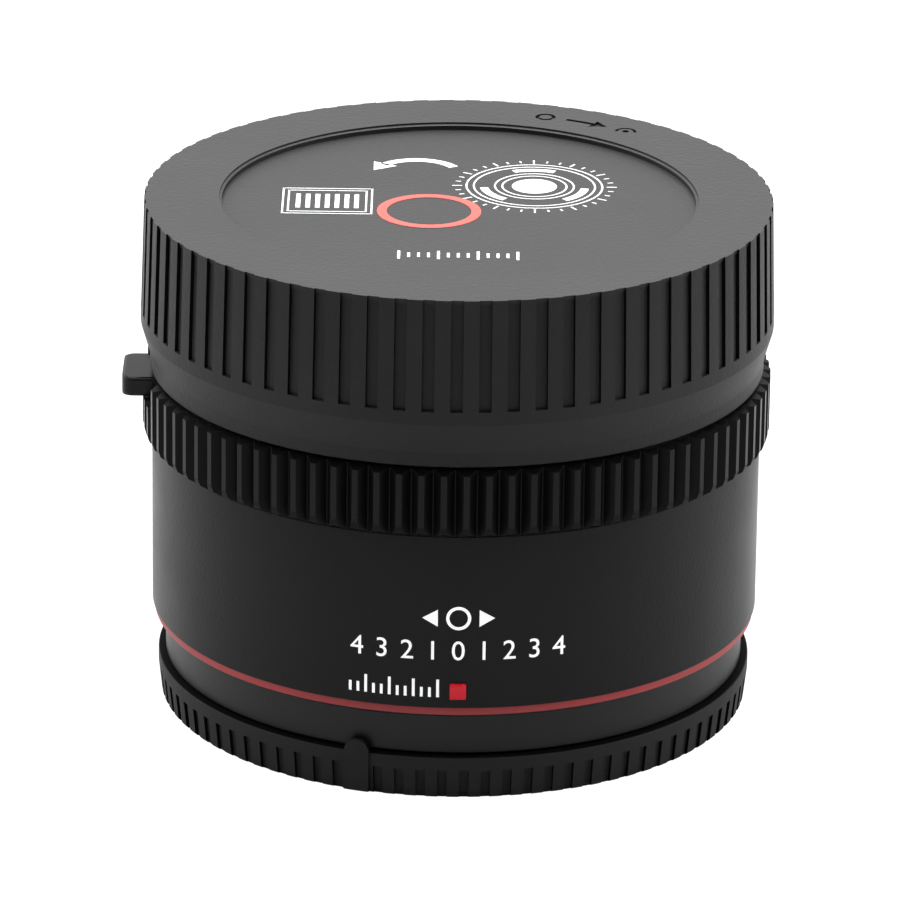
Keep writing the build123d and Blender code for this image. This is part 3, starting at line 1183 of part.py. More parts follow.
def build():
    save("front_cap", front_cap())
    save("rear_cap", rear_cap())
    save("rear_mount_ring", rear_mount_ring())
    save("rear_mount_screws", *rear_mount_screws())
    save("weather_seal", weather_seal())
    save("rear_barrel_section", rear_barrel_section())
    save("red_trim_ring", red_trim_ring())
    save("outer_barrel", outer_barrel())
    save("index_mark", index_mark())
    save("grip_ring", grip_ring())
    save("front_mount_ring", front_mount_ring())
    save("front_mount_screws", *front_mount_screws())
    save("bayonet_spring", bayonet_spring())
    save("main_frame", main_frame())
    save("release_lever", release_lever())
    save("lever_spring", lever_spring())
    save("lens_lock_pin", lens_lock_pin())
    save("lock_pin_spring", lock_pin_spring())
    save("front_baffle", front_baffle())
    save("front_contact_block", front_contact_block())
    for number, angle in enumerate(contact_angles(), start=1):
        save(f"contact_pin_{number:02d}", at(contact_circle, angle) * contact_pin())
    save("contact_pin_springs", *contact_pin_springs())
    save("front_contact_screws", *front_contact_screws())
    save("front_cell", front_cell())
    save("front_retaining_ring", front_retaining_ring())
    save("lens_tube", lens_tube())
    save("lens_tube_screws", *lens_tube_screws())
    save_glass()
    save("rear_baffle", rear_baffle())
    save("rear_baffle_screws", *rear_baffle_screws())
    save("rear_contact_block", rear_contact_block())
    save("rear_contact_pads", *rear_contact_pads())
    save("main_board", main_board())
    save("board_chips", *board_chips())
    save("board_screws", *board_screws())
    save("board_connectors", *board_connectors())
    save("front_flex", flat_cable(front_cable_circle, board_top + CONNECTOR_HEIGHT, baffle_top))
    save("rear_flex", flat_cable(rear_cable_circle, plate_foot, board_foot - CONNECTOR_HEIGHT))


build()
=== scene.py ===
"""Dresses a camera teleconverter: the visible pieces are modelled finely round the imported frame."""

import json
from collections import namedtuple
from math import cos, pi, radians, sin, tan, tau

import bmesh
import bpy
from bpy.props import FloatProperty, FloatVectorProperty, IntProperty, PointerProperty
from bpy.types import Operator, Panel, PropertyGroup
from mathutils import Matrix, Vector


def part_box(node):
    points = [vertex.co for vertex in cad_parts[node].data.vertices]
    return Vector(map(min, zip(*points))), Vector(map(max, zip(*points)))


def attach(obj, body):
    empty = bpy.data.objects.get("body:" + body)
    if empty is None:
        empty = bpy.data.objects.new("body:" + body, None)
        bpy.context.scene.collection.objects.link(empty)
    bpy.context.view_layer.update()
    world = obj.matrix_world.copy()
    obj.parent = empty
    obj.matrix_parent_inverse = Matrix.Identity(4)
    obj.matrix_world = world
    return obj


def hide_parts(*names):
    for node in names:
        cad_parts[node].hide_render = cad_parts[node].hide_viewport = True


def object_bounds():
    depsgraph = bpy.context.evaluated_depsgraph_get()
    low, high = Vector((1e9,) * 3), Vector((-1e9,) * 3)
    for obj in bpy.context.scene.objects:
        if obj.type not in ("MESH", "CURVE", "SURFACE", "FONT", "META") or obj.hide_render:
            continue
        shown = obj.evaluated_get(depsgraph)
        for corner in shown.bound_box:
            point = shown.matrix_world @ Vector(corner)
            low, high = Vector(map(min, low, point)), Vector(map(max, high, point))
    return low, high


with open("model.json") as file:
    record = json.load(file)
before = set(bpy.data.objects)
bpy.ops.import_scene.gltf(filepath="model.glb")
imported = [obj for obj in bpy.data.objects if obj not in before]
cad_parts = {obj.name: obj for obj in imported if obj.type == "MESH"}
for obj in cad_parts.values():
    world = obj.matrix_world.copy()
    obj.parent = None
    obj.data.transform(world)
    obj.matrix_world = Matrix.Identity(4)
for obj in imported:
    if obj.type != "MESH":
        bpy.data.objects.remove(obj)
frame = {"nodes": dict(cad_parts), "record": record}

bl_info = {
    "name": "Teleconverter Dresser",
    "version": (1, 0, 0),
    "blender": (4, 5, 0),
    "location": "3D View > Sidebar > Converter",
    "description": "Models the caps, grip, barrel and print of a camera teleconverter round its frame",
    "category": "Object",
}

CAD_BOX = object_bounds()
MM = 0.001
MERGE = 0.002 * MM  # points nearer than this are one point
OVERRUN = 1.0 * MM  # how far a cutting tool runs past its wall
INDEX_ANGLE = radians(-89.1)  # the side of the index mark
LEVER_ANGLE = radians(180)
CLAW_COUNT = 3
CAP_CLAW_ANGLE = radians(-30)  # the caps' claws stand in the gaps of the mounts' claws
SHARP_ANGLE = radians(32)  # edges that turn more than this stay sharp in the shading
BEVEL_SEGMENTS = 2
FIT = 0.03 * MM  # between turned pieces that are pushed together
LEVER_PLATE = 2.0 * MM  # thickness of the release lever's plate
NOTCH_ROOM = 0.15 * MM  # under the lever's tab, in the gap that is cut for it
WEB_ROOM = 0.15 * MM  # between the front flange and the cap's webs
LIP_OVERLAP = 0.3 * MM  # of the grip's lip with its wall
INDEX_ROOM = 0.04 * MM  # beside the red square, in its pocket
TAB_COVER_OUT = 0.02 * MM  # how far the fine tab covers the plain one at its end
TAB_COVER_UP = 0.08 * MM  # and on top

# Fillets of the turned outlines
HAIR_FILLET = 0.04 * MM
RIM_FILLET = 0.05 * MM
FINE_FILLET = 0.1 * MM
EDGE_FILLET = 0.12 * MM
LIP_FILLET = 0.18 * MM
FOOT_FILLET = 0.2 * MM
INNER_FILLET = 0.3 * MM
SEAL_FILLET = 0.35 * MM
SKIRT_FILLET = 0.5 * MM

# Boxes of the CAD nodes that the finer pieces take their places from
cap_low, cap_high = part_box("front_cap")
grip_low, grip_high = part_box("grip_ring")
barrel_low, barrel_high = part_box("outer_barrel")
trim_low, trim_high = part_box("red_trim_ring")
section_low, section_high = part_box("rear_barrel_section")
seal_low, seal_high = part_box("weather_seal")
rear_cap_low, rear_cap_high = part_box("rear_cap")
index_low, index_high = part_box("index_mark")
flange_low, flange_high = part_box("front_mount_ring")
lever_low, lever_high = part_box("release_lever")


def mm(*values):
    """Lengths given in millimetres, in metres."""
    return tuple(value * MM for value in values)


def length(name, description, millimetres):
    """A length that a user may change, given in millimetres and kept in metres."""
    value = millimetres * MM
    return FloatProperty(name=name, description=description, default=value, unit="LENGTH", precision=5)


def angle_value(name, description, value):
    """An angle that a user may change, in radians."""
    return FloatProperty(name=name, description=description, default=value, subtype="ANGLE")


def plain_value(name, description, value):
    return FloatProperty(name=name, description=description, default=value)


def colour(name, description, value):
    return FloatVectorProperty(
        name=name, description=description, default=value, size=3, subtype="COLOR", min=0, max=1
    )


class FrontCapSizes(PropertyGroup):
    rib_count: IntProperty(name="Ribs", description="Ribs round the front cap", default=72, min=3)
    groove_width: length("Groove width", "Width of a groove between two ribs", 1.31)
    groove_depth: length("Groove depth", "Depth of a groove between two ribs", 0.4)
    overlap: length("Overlap", "How far the skirt reaches below the flange", 0.55)
    skirt: length("Skirt", "Height of the straight part of the skirt", 1.55)
    taper: length("Taper", "Height of the cone from the skirt out to the lip", 3.46)
    flare: length("Flare", "How far the lip stands out past the skirt", 1.0)
    lip: length("Lip", "Height of the plain band under the grooves", 1.44)
    draft: length("Draft", "How much narrower the top is than the lip", 0.42)
    wall: length("Wall", "Thickness of the skirt", 1.35)
    rim: length("Rim", "Width of the flat rim round the recessed face", 8.08)
    recess_depth: length("Recess depth", "Depth of the recessed face", 0.85)
    recess_step: length("Recess step", "Width of the small step in the wall of the recess", 0.28)
    step_foot: plain_value("Step foot", "Depth of the step's foot, as a share of the recess's", 0.4)
    step_head: plain_value("Step head", "Depth of the step's head, as a share of the recess's", 0.27)
    run_out: length("Run-out", "Height over which a groove fades out under the top", 0.7)
    mouth_depth: length("Mouth depth", "Depth of a groove at the very top", 0.14)
    top_thickness: length("Top thickness", "From the rim's face to the ceiling inside", 2.6)
    spigot_radius: length("Spigot radius", "Outer radius of the ring that carries the claws", 25.6)
    spigot_wall: length("Spigot wall", "Thickness of that ring", 1.6)
    claw_reach: length("Claw reach", "How far a claw stands out from the spigot", 1.6)
    claw_thickness: length("Claw thickness", "Thickness of a claw", 1.2)
    claw_arc: angle_value("Claw arc", "Angle that a claw covers", radians(40))
    web_count: IntProperty(name="Webs", description="Webs between the spigot and the skirt", default=6)
    web_thickness: length("Web thickness", "Thickness of a web", 1.2)
    mark_circle: length("Mark circle", "Radius on which the turn marks are cut in the rim", 29.7)
    mark_depth: length("Mark depth", "Depth of the turn marks", 0.3)
    edge: length("Edge", "Rounding of the ribs' edges", 0.1)


class GripSizes(PropertyGroup):
    tooth_count: IntProperty(name="Teeth", description="Teeth round the grip ring", default=90, min=3)
    tooth_depth: length("Tooth depth", "How far a tooth stands out", 1.0)
    tip_width: length("Tip width", "Width of a tooth at its tip", 0.65)
    floor_width: length("Floor width", "Flat width between two teeth", 0.15)
    foot_shoulder: length("Foot shoulder", "How far the shallow slope at a tooth's foot reaches out", 0.8)
    foot_slope: length("Foot slope", "Height of the shallow slope at a tooth's foot", 0.5)
    lower_slope: length("Lower slope", "Height of both slopes at a tooth's foot", 1.25)
    upper_slope: length("Upper slope", "Height of the slope at a tooth's top", 0.36)
    lip: length("Lip", "Thickness of the lip over the barrel's sleeve", 0.6)
    bore: length("Bore", "Inner radius over the sleeve", 32.23)
    lip_bore: length("Lip bore", "Inner radius of the lip", 31.75)
    edge: length("Edge", "Rounding of the teeth's edges", 0.05)


class BarrelSizes(PropertyGroup):
    bore: length("Bore", "Inner radius of the barrel", 31.75)
    sleeve_wall: length("Sleeve wall", "Wall of the sleeve under the grip ring", 0.45)
    spigot_wall: length("Spigot wall", "Wall of the rear section's spigot", 0.6)
    section_radius: length("Section radius", "Radius of the section over the rear cap", 31.7)
    section_wall: length("Section wall", "Wall of that section", 0.7)
    section_drop: length("Section drop", "How far its skirt hangs down over the seal", 0.35)
    line_inset: length("Line inset", "How far the red line is set in from the barrel", 0.2)
    seal_width: length("Seal width", "Width of the rubber seal", 0.8)
    seal_ledge: length("Seal ledge", "Height of the ledge over the seal", 2.3)
    edge: length("Edge", "Rounding of the barrel's edges", 0.12)
    index_size: length("Index size", "Side of the red square", 1.75)
    index_edge: length("Index edge", "Rounding of the square's edges", 0.16)
    index_depth: length("Index depth", "How deep the square sits in the barrel", 0.4)
    index_proud: length("Index proud", "How far the square stands out", 0.35)
    notch_gap: length("Notch gap", "Gap beside the lever's tab", 0.3)
    tab_width: length("Tab width", "Width of the lever's tab", 8.0)
    lever_travel: angle_value("Lever travel", "Angle that the lever turns", radians(6))


class RearCapSizes(PropertyGroup):
    groove_count: IntProperty(name="Grooves", description="Grooves round the rear cap", default=88, min=3)
    groove_width: length("Groove width", "Width of a groove", 1.0)
    groove_depth: length("Groove depth", "Depth of a groove", 0.36)
    height: length("Height", "Height of the cap without its nub", 4.7)
    lip: length("Lip", "Height of the plain band over the grooves", 1.45)
    draft: length("Draft", "How much narrower the foot is than the lip", 0.33)
    wall: length("Wall", "Thickness of the wall", 1.3)
    floor: length("Floor", "Thickness of the floor", 1.2)
    foot_edge: length("Foot edge", "Bevel round the foot", 0.25)
    line_radius: length("Line radius", "Inner radius of the turned line under the floor", 25.5)
    line_width: length("Line width", "Width of that line", 0.7)
    line_depth: length("Line depth", "Depth of that line", 0.3)
    ring_radius: length("Ring radius", "Outer radius of the ring that carries the claws", 28.85)
    ring_wall: length("Ring wall", "Wall of that ring", 1.0)
    ring_top: length("Ring top", "Level of that ring's top", 4.55)
    claw_inner: length("Claw inner radius", "Radius of a claw's inner edge", 26.2)
    claw_thickness: length("Claw thickness", "Thickness of a claw", 1.2)
    claw_arc: angle_value("Claw arc", "Angle that a claw covers", radians(40))
    nub_angle: angle_value("Nub angle", "Where the nub stands", radians(-108.2))
    nub_width: length("Nub width", "Width of the half-round nub", 2.75)
    nub_proud: length("Nub proud", "How far the nub stands out from the wall", 0.2)
    nub_thickness: length("Nub thickness", "Thickness of the nub", 0.55)
    edge: length("Edge", "Rounding of the grooves' edges", 0.06)


class LeverSizes(PropertyGroup):
    width: length("Width", "Width of the lever's tab", 8.06)
    length: length("Length", "Length of the tab that shows", 3.7)
    thickness: length("Thickness", "Thickness of the tab", 2.16)
    corner: length("Corner", "Rounding of the tab's corners, seen from above", 1.2)
    edge: length("Edge", "Rounding of the tab's upper and lower edges", 0.32)


class PrintSizes(PropertyGroup):
    proud: length("Proud", "How far the print stands out", 0.03)
    digit_height: length("Digit height", "Height of the digits on the barrel", 2.15)
    digit_level: length("Digit level", "Level of the digits' middle on the barrel", 17.2)
    sign_level: length("Sign level", "Level of the sign over the digits", 21.0)
    tick_level: length("Tick level", "Level of the ticks beside the index", 13.0)
    digit_pitch: length("Digit pitch", "From one digit to the next", 2.72)
    line_width: length("Line width", "Width of the lines on the cap's face", 0.2)
    ring_radius: length("Ring radius", "Radius of the coral ring on the cap's face", 5.1)
    ring_width: length("Ring width", "Width of the coral ring's line", 1.05)


class FinishColours(PropertyGroup):
    cap_plastic: colour("Cap plastic", "Moulded plastic of both caps", (0.0205, 0.0205, 0.021))
    barrel_metal: colour("Barrel", "Black anodised metal of the barrel", (0.005, 0.005, 0.0053))
    grip_metal: colour("Grip", "Gloss black of the grip ring", (0.003, 0.003, 0.0032))
    red_line: colour("Red line", "Paint of the line round the barrel", (0.25, 0.036, 0.038))
    index_red: colour("Index", "Enamel of the red square", (0.54, 0.003, 0.014))
    print_white: colour("White print", "Ink of the digits and figures", (0.82, 0.82, 0.82))
    print_coral: colour("Coral print", "Ink of the coloured ring on the cap", (0.72, 0.11, 0.09))
    floor: colour("Floor", "Pale floor", (0.75, 0.75, 0.75))


class StageSettings(PropertyGroup):
    elevation: angle_value("Elevation", "Camera over the horizon", 0.361)
    roll: angle_value("Roll", "Camera's tilt", 0.0125)
    focal_length: plain_value("Focal length", "In millimetres on a 36 mm sensor", 284.98)
    position: FloatVectorProperty(
        name="Position", description="Where the camera stands", default=(-0.00062, -0.7288, 0.3026),
        size=3, subtype="TRANSLATION", unit="LENGTH", precision=5,
    )
    back_glow: plain_value("Back glow", "Brightness behind the object", 1.15)
    front_glow: plain_value("Front glow", "Brightness behind the camera", 0.0)
    floor_glow: plain_value("Floor glow", "How white the floor is to the camera", 1.25)
    top_power: plain_value("Top light", "Power of the light overhead", 9.0)
    fill_power: plain_value("Fill lights", "Power of the two lights at the sides", 2.1)
    left_power: plain_value("Left light", "Power of the light at the left", 1.8)
    right_power: plain_value("Right light", "Power of the light at the right", 1.2)


# Outlines and sweeps


def rounded(corners, steps=4):
    """Points of an outline from (radius, level, fillet) corners, with a curve where a fillet is given."""
    points = []
    count = len(corners)
    for i, corner in enumerate(corners):
        place = Vector(corner[:2])
        fillet = corner[2] if len(corner) > 2 else 0
        if not fillet:
            points.append(place)
            continue
        back = (Vector(corners[i - 1][:2]) - place).normalized()
        ahead = (Vector(corners[(i + 1) % count][:2]) - place).normalized()
        reach = fillet / tan(back.angle(ahead) / 2)
        start, end = place + back * reach, place + ahead * reach
        for step in range(steps + 1):
            share = step / steps
            points.append(start.lerp(place, share).lerp(place.lerp(end, share), share))
    return points


def block(place, size):
    """A closed box, its size given, about a place."""
    bm = bmesh.new()
    bmesh.ops.create_cube(bm, size=1, matrix=place @ Matrix.Diagonal((*size, 1)))
    return bm


def around(place, radius, angle):
    """The point at an angle of a circle about a place."""
    return place[0] + radius * cos(angle), place[1] + radius * sin(angle)


def sweep(bm, outline, steps, start=0.0, angle=tau, centre=(0, 0, 0), closed=True):
    """Sweeps an outline of (radius, level) points round an upright axis.
    An open outline starts and ends on the axis."""
    direction = Vector((cos(start), sin(start), 0))
    middle = Vector(centre)
    verts = [bm.verts.new(middle + direction * r + Vector((0, 0, z))) for r, z in outline]
    pairs = list(zip(verts, verts[1:]))
    if closed:
        pairs.append((verts[-1], verts[0]))
    edges = [bm.edges.new(pair) for pair in pairs]
    whole = abs(angle - tau) < MERGE
    bmesh.ops.spin(
        bm, geom=verts + edges, axis=(0, 0, 1), cent=middle, angle=angle, steps=steps, use_merge=whole
    )


def extrude(bm, corners, height):
    """Raises a level face by a height, as a closed block."""
    face = bm.faces.new([bm.verts.new(corner) for corner in corners])
    raised = bmesh.ops.extrude_face_region(bm, geom=[face])["geom"]
    verts = [item for item in raised if isinstance(item, bmesh.types.BMVert)]
    bmesh.ops.translate(bm, vec=(0, 0, height), verts=verts)


def merge(bm):
    bmesh.ops.remove_doubles(bm, verts=bm.verts[:], dist=MERGE)


def close_holes(bm):
    merge(bm)
    bmesh.ops.holes_fill(bm, edges=[e for e in bm.edges if e.is_boundary], sides=0)
    bmesh.ops.recalc_face_normals(bm, faces=bm.faces[:])


def turned(corners, steps=360, closed=True):
    """A closed mesh turned about the optical axis."""
    bm = bmesh.new()
    sweep(bm, rounded(corners), steps, closed=closed)
    close_holes(bm)
    return bm


def band(inner, outer, low, high, low_fillet=0, high_fillet=0, steps=360):
    """A whole turned ring, with fillets at the outer edges where they are given."""
    outline = [(inner, low), (outer, low, low_fillet), (outer, high, high_fillet), (inner, high)]
    return turned(outline, steps)


def ring_part(inner, outer, low, high, start, angle, steps=24):
    """A closed part of a ring, for a claw or a cutting tool."""
    bm = bmesh.new()
    sweep(bm, [(inner, low), (outer, low), (outer, high), (inner, high)], steps, start, angle)
    close_holes(bm)
    return bm


def repeat(bm, count, angle=tau):
    """Copies what the mesh holds round the optical axis, count times in all."""
    geometry = bm.verts[:] + bm.edges[:] + bm.faces[:]
    pitch = angle / count
    bmesh.ops.spin(
        bm, geom=geometry, axis=(0, 0, 1), cent=(0, 0, 0), angle=angle - pitch, steps=count - 1,
        use_duplicate=True,
    )
    merge(bm)


def grooved(rib, groove, count, groove_angle, first, plain=0, rib_steps=5, groove_steps=3):
    """A turned piece with grooves round it: rib and groove outlines take turns, with side walls between.
    The last of the pitches are plain ones, with no groove."""
    bm = bmesh.new()
    pitch = tau / count
    sweep(bm, groove, groove_steps, first, groove_angle, closed=False)
    sweep(bm, rib, rib_steps, first + groove_angle, pitch - groove_angle, closed=False)
    merge(bm)
    copies = count - plain
    repeat(bm, copies, pitch * copies)
    for i in range(plain):
        sweep(bm, rib, rib_steps + groove_steps, first + pitch * (copies + i), pitch, closed=False)
    close_holes(bm)
    return bm


def new_mesh(name, bm):
    """A mesh of what was built, which is freed."""
    mesh = bpy.data.meshes.new(name)
    bm.to_mesh(mesh)
    bm.free()
    return mesh


def new_object(name, data):
    """An object in the scene that holds the data."""
    obj = bpy.data.objects.new(name, data)
    bpy.context.scene.collection.objects.link(obj)
    return obj


def boolean(bm, tool, operation):
    """The mesh joined with a tool (UNION) or cut by it (DIFFERENCE)."""
    base, other = (new_object("temporary", new_mesh("temporary", part)) for part in (bm, tool))
    modifier = base.modifiers.new("boolean", "BOOLEAN")
    modifier.operation = operation
    modifier.solver = "EXACT"
    modifier.object = other
    result = bmesh.new()
    result.from_object(base, bpy.context.evaluated_depsgraph_get())
    for obj in (base, other):
        mesh = obj.data
        bpy.data.objects.remove(obj)
        bpy.data.meshes.remove(mesh)
    merge(result)
    return result


def gathered(*parts):
    """Several meshes that don't touch, as one."""
    bm = bmesh.new()
    for part in parts:
        mesh = new_mesh("part", part)
        bm.from_mesh(mesh)
        bpy.data.meshes.remove(mesh)
    return bm


def round_edges(bm, edges, radius, segments):
    bmesh.ops.bevel(
        bm, geom=edges, offset=radius, segments=segments, affect="EDGES", profile=0.5, material=-1
    )


def soften(obj, edge):
    """Rounds the sharp edges of a piece and evens its shading."""
    bevel = obj.modifiers.new("edges", "BEVEL")
    bevel.width = edge
    bevel.segments = BEVEL_SEGMENTS
    bevel.limit_method = "ANGLE"
    bevel.angle_limit = SHARP_ANGLE
    bevel.harden_normals = False
    normals = obj.modifiers.new("normals", "WEIGHTED_NORMAL")
    normals.keep_sharp = True


def add_piece(name, bm, body, slot, nodes=(), finishes=(), edge=0.0):
    """Puts a finished mesh in the scene as a piece that rides on a body and stands for nodes of the frame.
    It has its slot's finish, or the ones that are given."""
    bmesh.ops.recalc_face_normals(bm, faces=bm.faces[:])
    loose = [e for e in bm.edges if not e.is_manifold]
    if loose:
        raise RuntimeError(f"{name} has {len(loose)} open edges, first near {loose[0].verts[0].co / MM}")
    mesh = new_mesh(name, bm)
    mesh.shade_smooth()
    mesh.set_sharp_from_angle(angle=SHARP_ANGLE)
    for label in finishes or (slot,):
        mesh.materials.append(finish(label))
    obj = new_object(name, mesh)
    if edge:
        soften(obj, edge)
    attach(obj, body)
    if nodes:
        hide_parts(*nodes)
    return obj


# Shader groups


def new_group(name, inputs, outputs):
    """A shader node group with named float inputs and outputs, and its own input and output nodes."""
    group = bpy.data.node_groups.new(name, "ShaderNodeTree")
    for label, value in inputs:
        socket = group.interface.new_socket(name=label, in_out="INPUT", socket_type="NodeSocketFloat")
        socket.default_value = value
    for label in outputs:
        group.interface.new_socket(name=label, in_out="OUTPUT", socket_type="NodeSocketFloat")
    return group, group.nodes.new("NodeGroupInput"), group.nodes.new("NodeGroupOutput")


def feed(tree, value, socket):
    """Gives a socket a plain number or what another node puts out."""
    if isinstance(value, (int, float)):
        socket.default_value = value
    else:
        tree.links.new(value, socket)


def math_node(tree, operation, *values):
    node = tree.nodes.new("ShaderNodeMath")
    node.operation = operation
    for socket, value in zip(node.inputs, values):
        feed(tree, value, socket)
    return node.outputs[0]


def noise_node(tree, vector, scale, detail):
    node = tree.nodes.new("ShaderNodeTexNoise")
    node.inputs["Detail"].default_value = detail
    tree.links.new(vector, node.inputs["Vector"])
    feed(tree, scale, node.inputs["Scale"])
    return node.outputs["Fac"]


def grain_group():
    """Fine moulded or blasted grain, with a slow drift of tone over the whole piece."""
    group, given, made = new_group(
        "Surface grain", [("Grain Scale", 5000.0), ("Drift Scale", 60.0)], ["Height", "Drift"]
    )
    place = group.nodes.new("ShaderNodeTexCoord").outputs["Object"]
    fine = noise_node(group, place, given.outputs["Grain Scale"], 2.0)
    cells = group.nodes.new("ShaderNodeTexVoronoi")
    cells.feature = "SMOOTH_F1"
    group.links.new(place, cells.inputs["Vector"])
    group.links.new(given.outputs["Grain Scale"], cells.inputs["Scale"])
    height = math_node(group, "ADD", fine, cells.outputs["Distance"])
    group.links.new(height, made.inputs["Height"])
    drift = noise_node(group, place, given.outputs["Drift Scale"], 4.0)
    group.links.new(drift, made.inputs["Drift"])
    return group


def lathe_group():
    """Fine turned lines round the optical axis, uneven in depth."""
    group, given, made = new_group("Lathe lines", [("Line Scale", 9000.0)], ["Height", "Drift"])
    split = group.nodes.new("ShaderNodeSeparateXYZ")
    place = group.nodes.new("ShaderNodeTexCoord").outputs["Object"]
    group.links.new(place, split.inputs[0])
    across = math_node(group, "POWER", split.outputs["X"], 2.0)
    along = math_node(group, "POWER", split.outputs["Y"], 2.0)
    radius = math_node(group, "SQRT", math_node(group, "ADD", across, along))
    join = group.nodes.new("ShaderNodeCombineXYZ")
    group.links.new(radius, join.inputs["X"])
    group.links.new(split.outputs["Z"], join.inputs["Y"])
    lines = noise_node(group, join.outputs[0], given.outputs["Line Scale"], 2.0)
    group.links.new(lines, made.inputs["Height"])
    group.links.new(noise_node(group, place, 80.0, 3.0), made.inputs["Drift"])
    return group


GROUPS = {}
DRIFT_RANGE = 0.3, 0.7  # of the noise that mixes or spreads values
MIX_COLOURS = 6, 7  # inputs of a Mix node that take colours
MIX_RESULT = 2  # output of a Mix node that gives a colour


def shared_group(build):
    """The one shader group that a function makes, made when it is first asked for."""
    if build.__name__ not in GROUPS:
        GROUPS[build.__name__] = build()
    return GROUPS[build.__name__]


# Materials
GRAIN_ROUGHNESS = 0.05  # how far the roughness drifts either way
GRAIN_BUMP = 0.6
LINE_ROUGHNESS = 0.06
LINE_BUMP = 0.5
METAL_TONES = 0.9, 1.08
COATINGS = (0.80, 0.93, 0.88), (0.90, 0.86, 0.97)  # faint green and faint violet
# Roughness, specular level, scale and depth of the grain, and its contrast
INK_SURFACE = 0.45, 0.3, 6000.0, 0.003, 0.05


def new_material(name):
    made = bpy.data.materials.new(name)
    made.use_nodes = True
    return made, made.node_tree, made.node_tree.nodes["Principled BSDF"]


def place_group(tree, group, **values):
    node = tree.nodes.new("ShaderNodeGroup")
    node.node_tree = group
    for label, value in values.items():
        node.inputs[label.replace("_", " ")].default_value = value
    return node


def spread(tree, factor, low, high, target):
    """Sends a mask to a shader socket, as a range of values or as a mix of two colours."""
    if isinstance(low, (int, float)):
        node = tree.nodes.new("ShaderNodeMapRange")
        node.inputs["From Min"].default_value, node.inputs["From Max"].default_value = DRIFT_RANGE
        node.inputs["To Min"].default_value = low
        node.inputs["To Max"].default_value = high
        tree.links.new(factor, node.inputs["Value"])
        tree.links.new(node.outputs["Result"], target)
        return
    node = tree.nodes.new("ShaderNodeMix")
    node.data_type = "RGBA"
    tree.links.new(factor, node.inputs["Factor"])
    for index, value in zip(MIX_COLOURS, (low, high)):
        node.inputs[index].default_value = (*value, 1)
    tree.links.new(node.outputs[MIX_RESULT], target)


def bump(tree, height, strength, distance, shader):
    node = tree.nodes.new("ShaderNodeBump")
    node.inputs["Strength"].default_value = strength
    node.inputs["Distance"].default_value = distance
    tree.links.new(height, node.inputs["Height"])
    tree.links.new(node.outputs["Normal"], shader.inputs["Normal"])


def scaled(value, factor):
    return tuple(min(1.0, part * factor) for part in value)


def grained(name, base, rough, specular, scale, depth, contrast=0.15):
    """A moulded, blasted or painted surface: grain, drifting tone and roughness."""
    made, tree, shader = new_material(name)
    grain = place_group(tree, shared_group(grain_group), Grain_Scale=scale)
    dark, light = scaled(base, 1 - contrast), scaled(base, 1 + contrast)
    spread(tree, grain.outputs["Drift"], dark, light, shader.inputs["Base Color"])
    least, most = rough - GRAIN_ROUGHNESS, rough + GRAIN_ROUGHNESS
    spread(tree, grain.outputs["Drift"], least, most, shader.inputs["Roughness"])
    bump(tree, grain.outputs["Height"], GRAIN_BUMP, depth * MM, shader)
    shader.inputs["Specular IOR Level"].default_value = specular
    return made


def machined(name, base, rough, scale=9000.0, depth=0.004):
    """A turned or rolled metal surface with fine lines round the axis."""
    made, tree, shader = new_material(name)
    lines = place_group(tree, shared_group(lathe_group), Line_Scale=scale)
    dark, light = (scaled(base, tone) for tone in METAL_TONES)
    spread(tree, lines.outputs["Drift"], dark, light, shader.inputs["Base Color"])
    least, most = rough - LINE_ROUGHNESS, rough + LINE_ROUGHNESS
    spread(tree, lines.outputs["Height"], least, most, shader.inputs["Roughness"])
    bump(tree, lines.outputs["Height"], LINE_BUMP, depth * MM, shader)
    shader.inputs["Metallic"].default_value = 1.0
    return made


def ink(name, base, glow):
    """Printed ink; a glow, where one is given, is painted light that keeps it bright where little light
    falls on it.
    """
    made = grained(name, base, *INK_SURFACE)
    shader = made.node_tree.nodes["Principled BSDF"]
    shader.inputs["Emission Color"].default_value = (*base, 1)
    shader.inputs["Emission Strength"].default_value = glow
    return made


def coated_glass(name):
    """Optical glass with the faint green and violet of its coating."""
    made, tree, shader = new_material(name)
    grain = place_group(tree, shared_group(grain_group), Grain_Scale=900.0, Drift_Scale=35.0)
    spread(tree, grain.outputs["Drift"], *COATINGS, shader.inputs["Base Color"])
    spread(tree, grain.outputs["Drift"], 0.01, 0.03, shader.inputs["Roughness"])
    shader.inputs["Transmission Weight"].default_value = 1.0
    shader.inputs["IOR"].default_value = 1.6
    return made


def laminate(name):
    """Green solder mask with lighter traces under it."""
    made, tree, shader = new_material(name)
    grain = place_group(tree, shared_group(grain_group), Grain_Scale=2600.0)
    bricks = tree.nodes.new("ShaderNodeTexBrick")
    tree.links.new(tree.nodes.new("ShaderNodeTexCoord").outputs["Object"], bricks.inputs["Vector"])
    bricks.inputs["Scale"].default_value = 420.0
    bricks.inputs["Mortar Size"].default_value = 0.03
    bricks.inputs["Color1"].default_value = (0.006, 0.085, 0.028, 1)
    bricks.inputs["Color2"].default_value = (0.008, 0.105, 0.036, 1)
    bricks.inputs["Mortar"].default_value = (0.03, 0.23, 0.08, 1)
    tree.links.new(bricks.outputs["Color"], shader.inputs["Base Color"])
    spread(tree, grain.outputs["Drift"], 0.28, 0.4, shader.inputs["Roughness"])
    bump(tree, bricks.outputs["Fac"], 0.4, -0.02 * MM, shader)
    return made


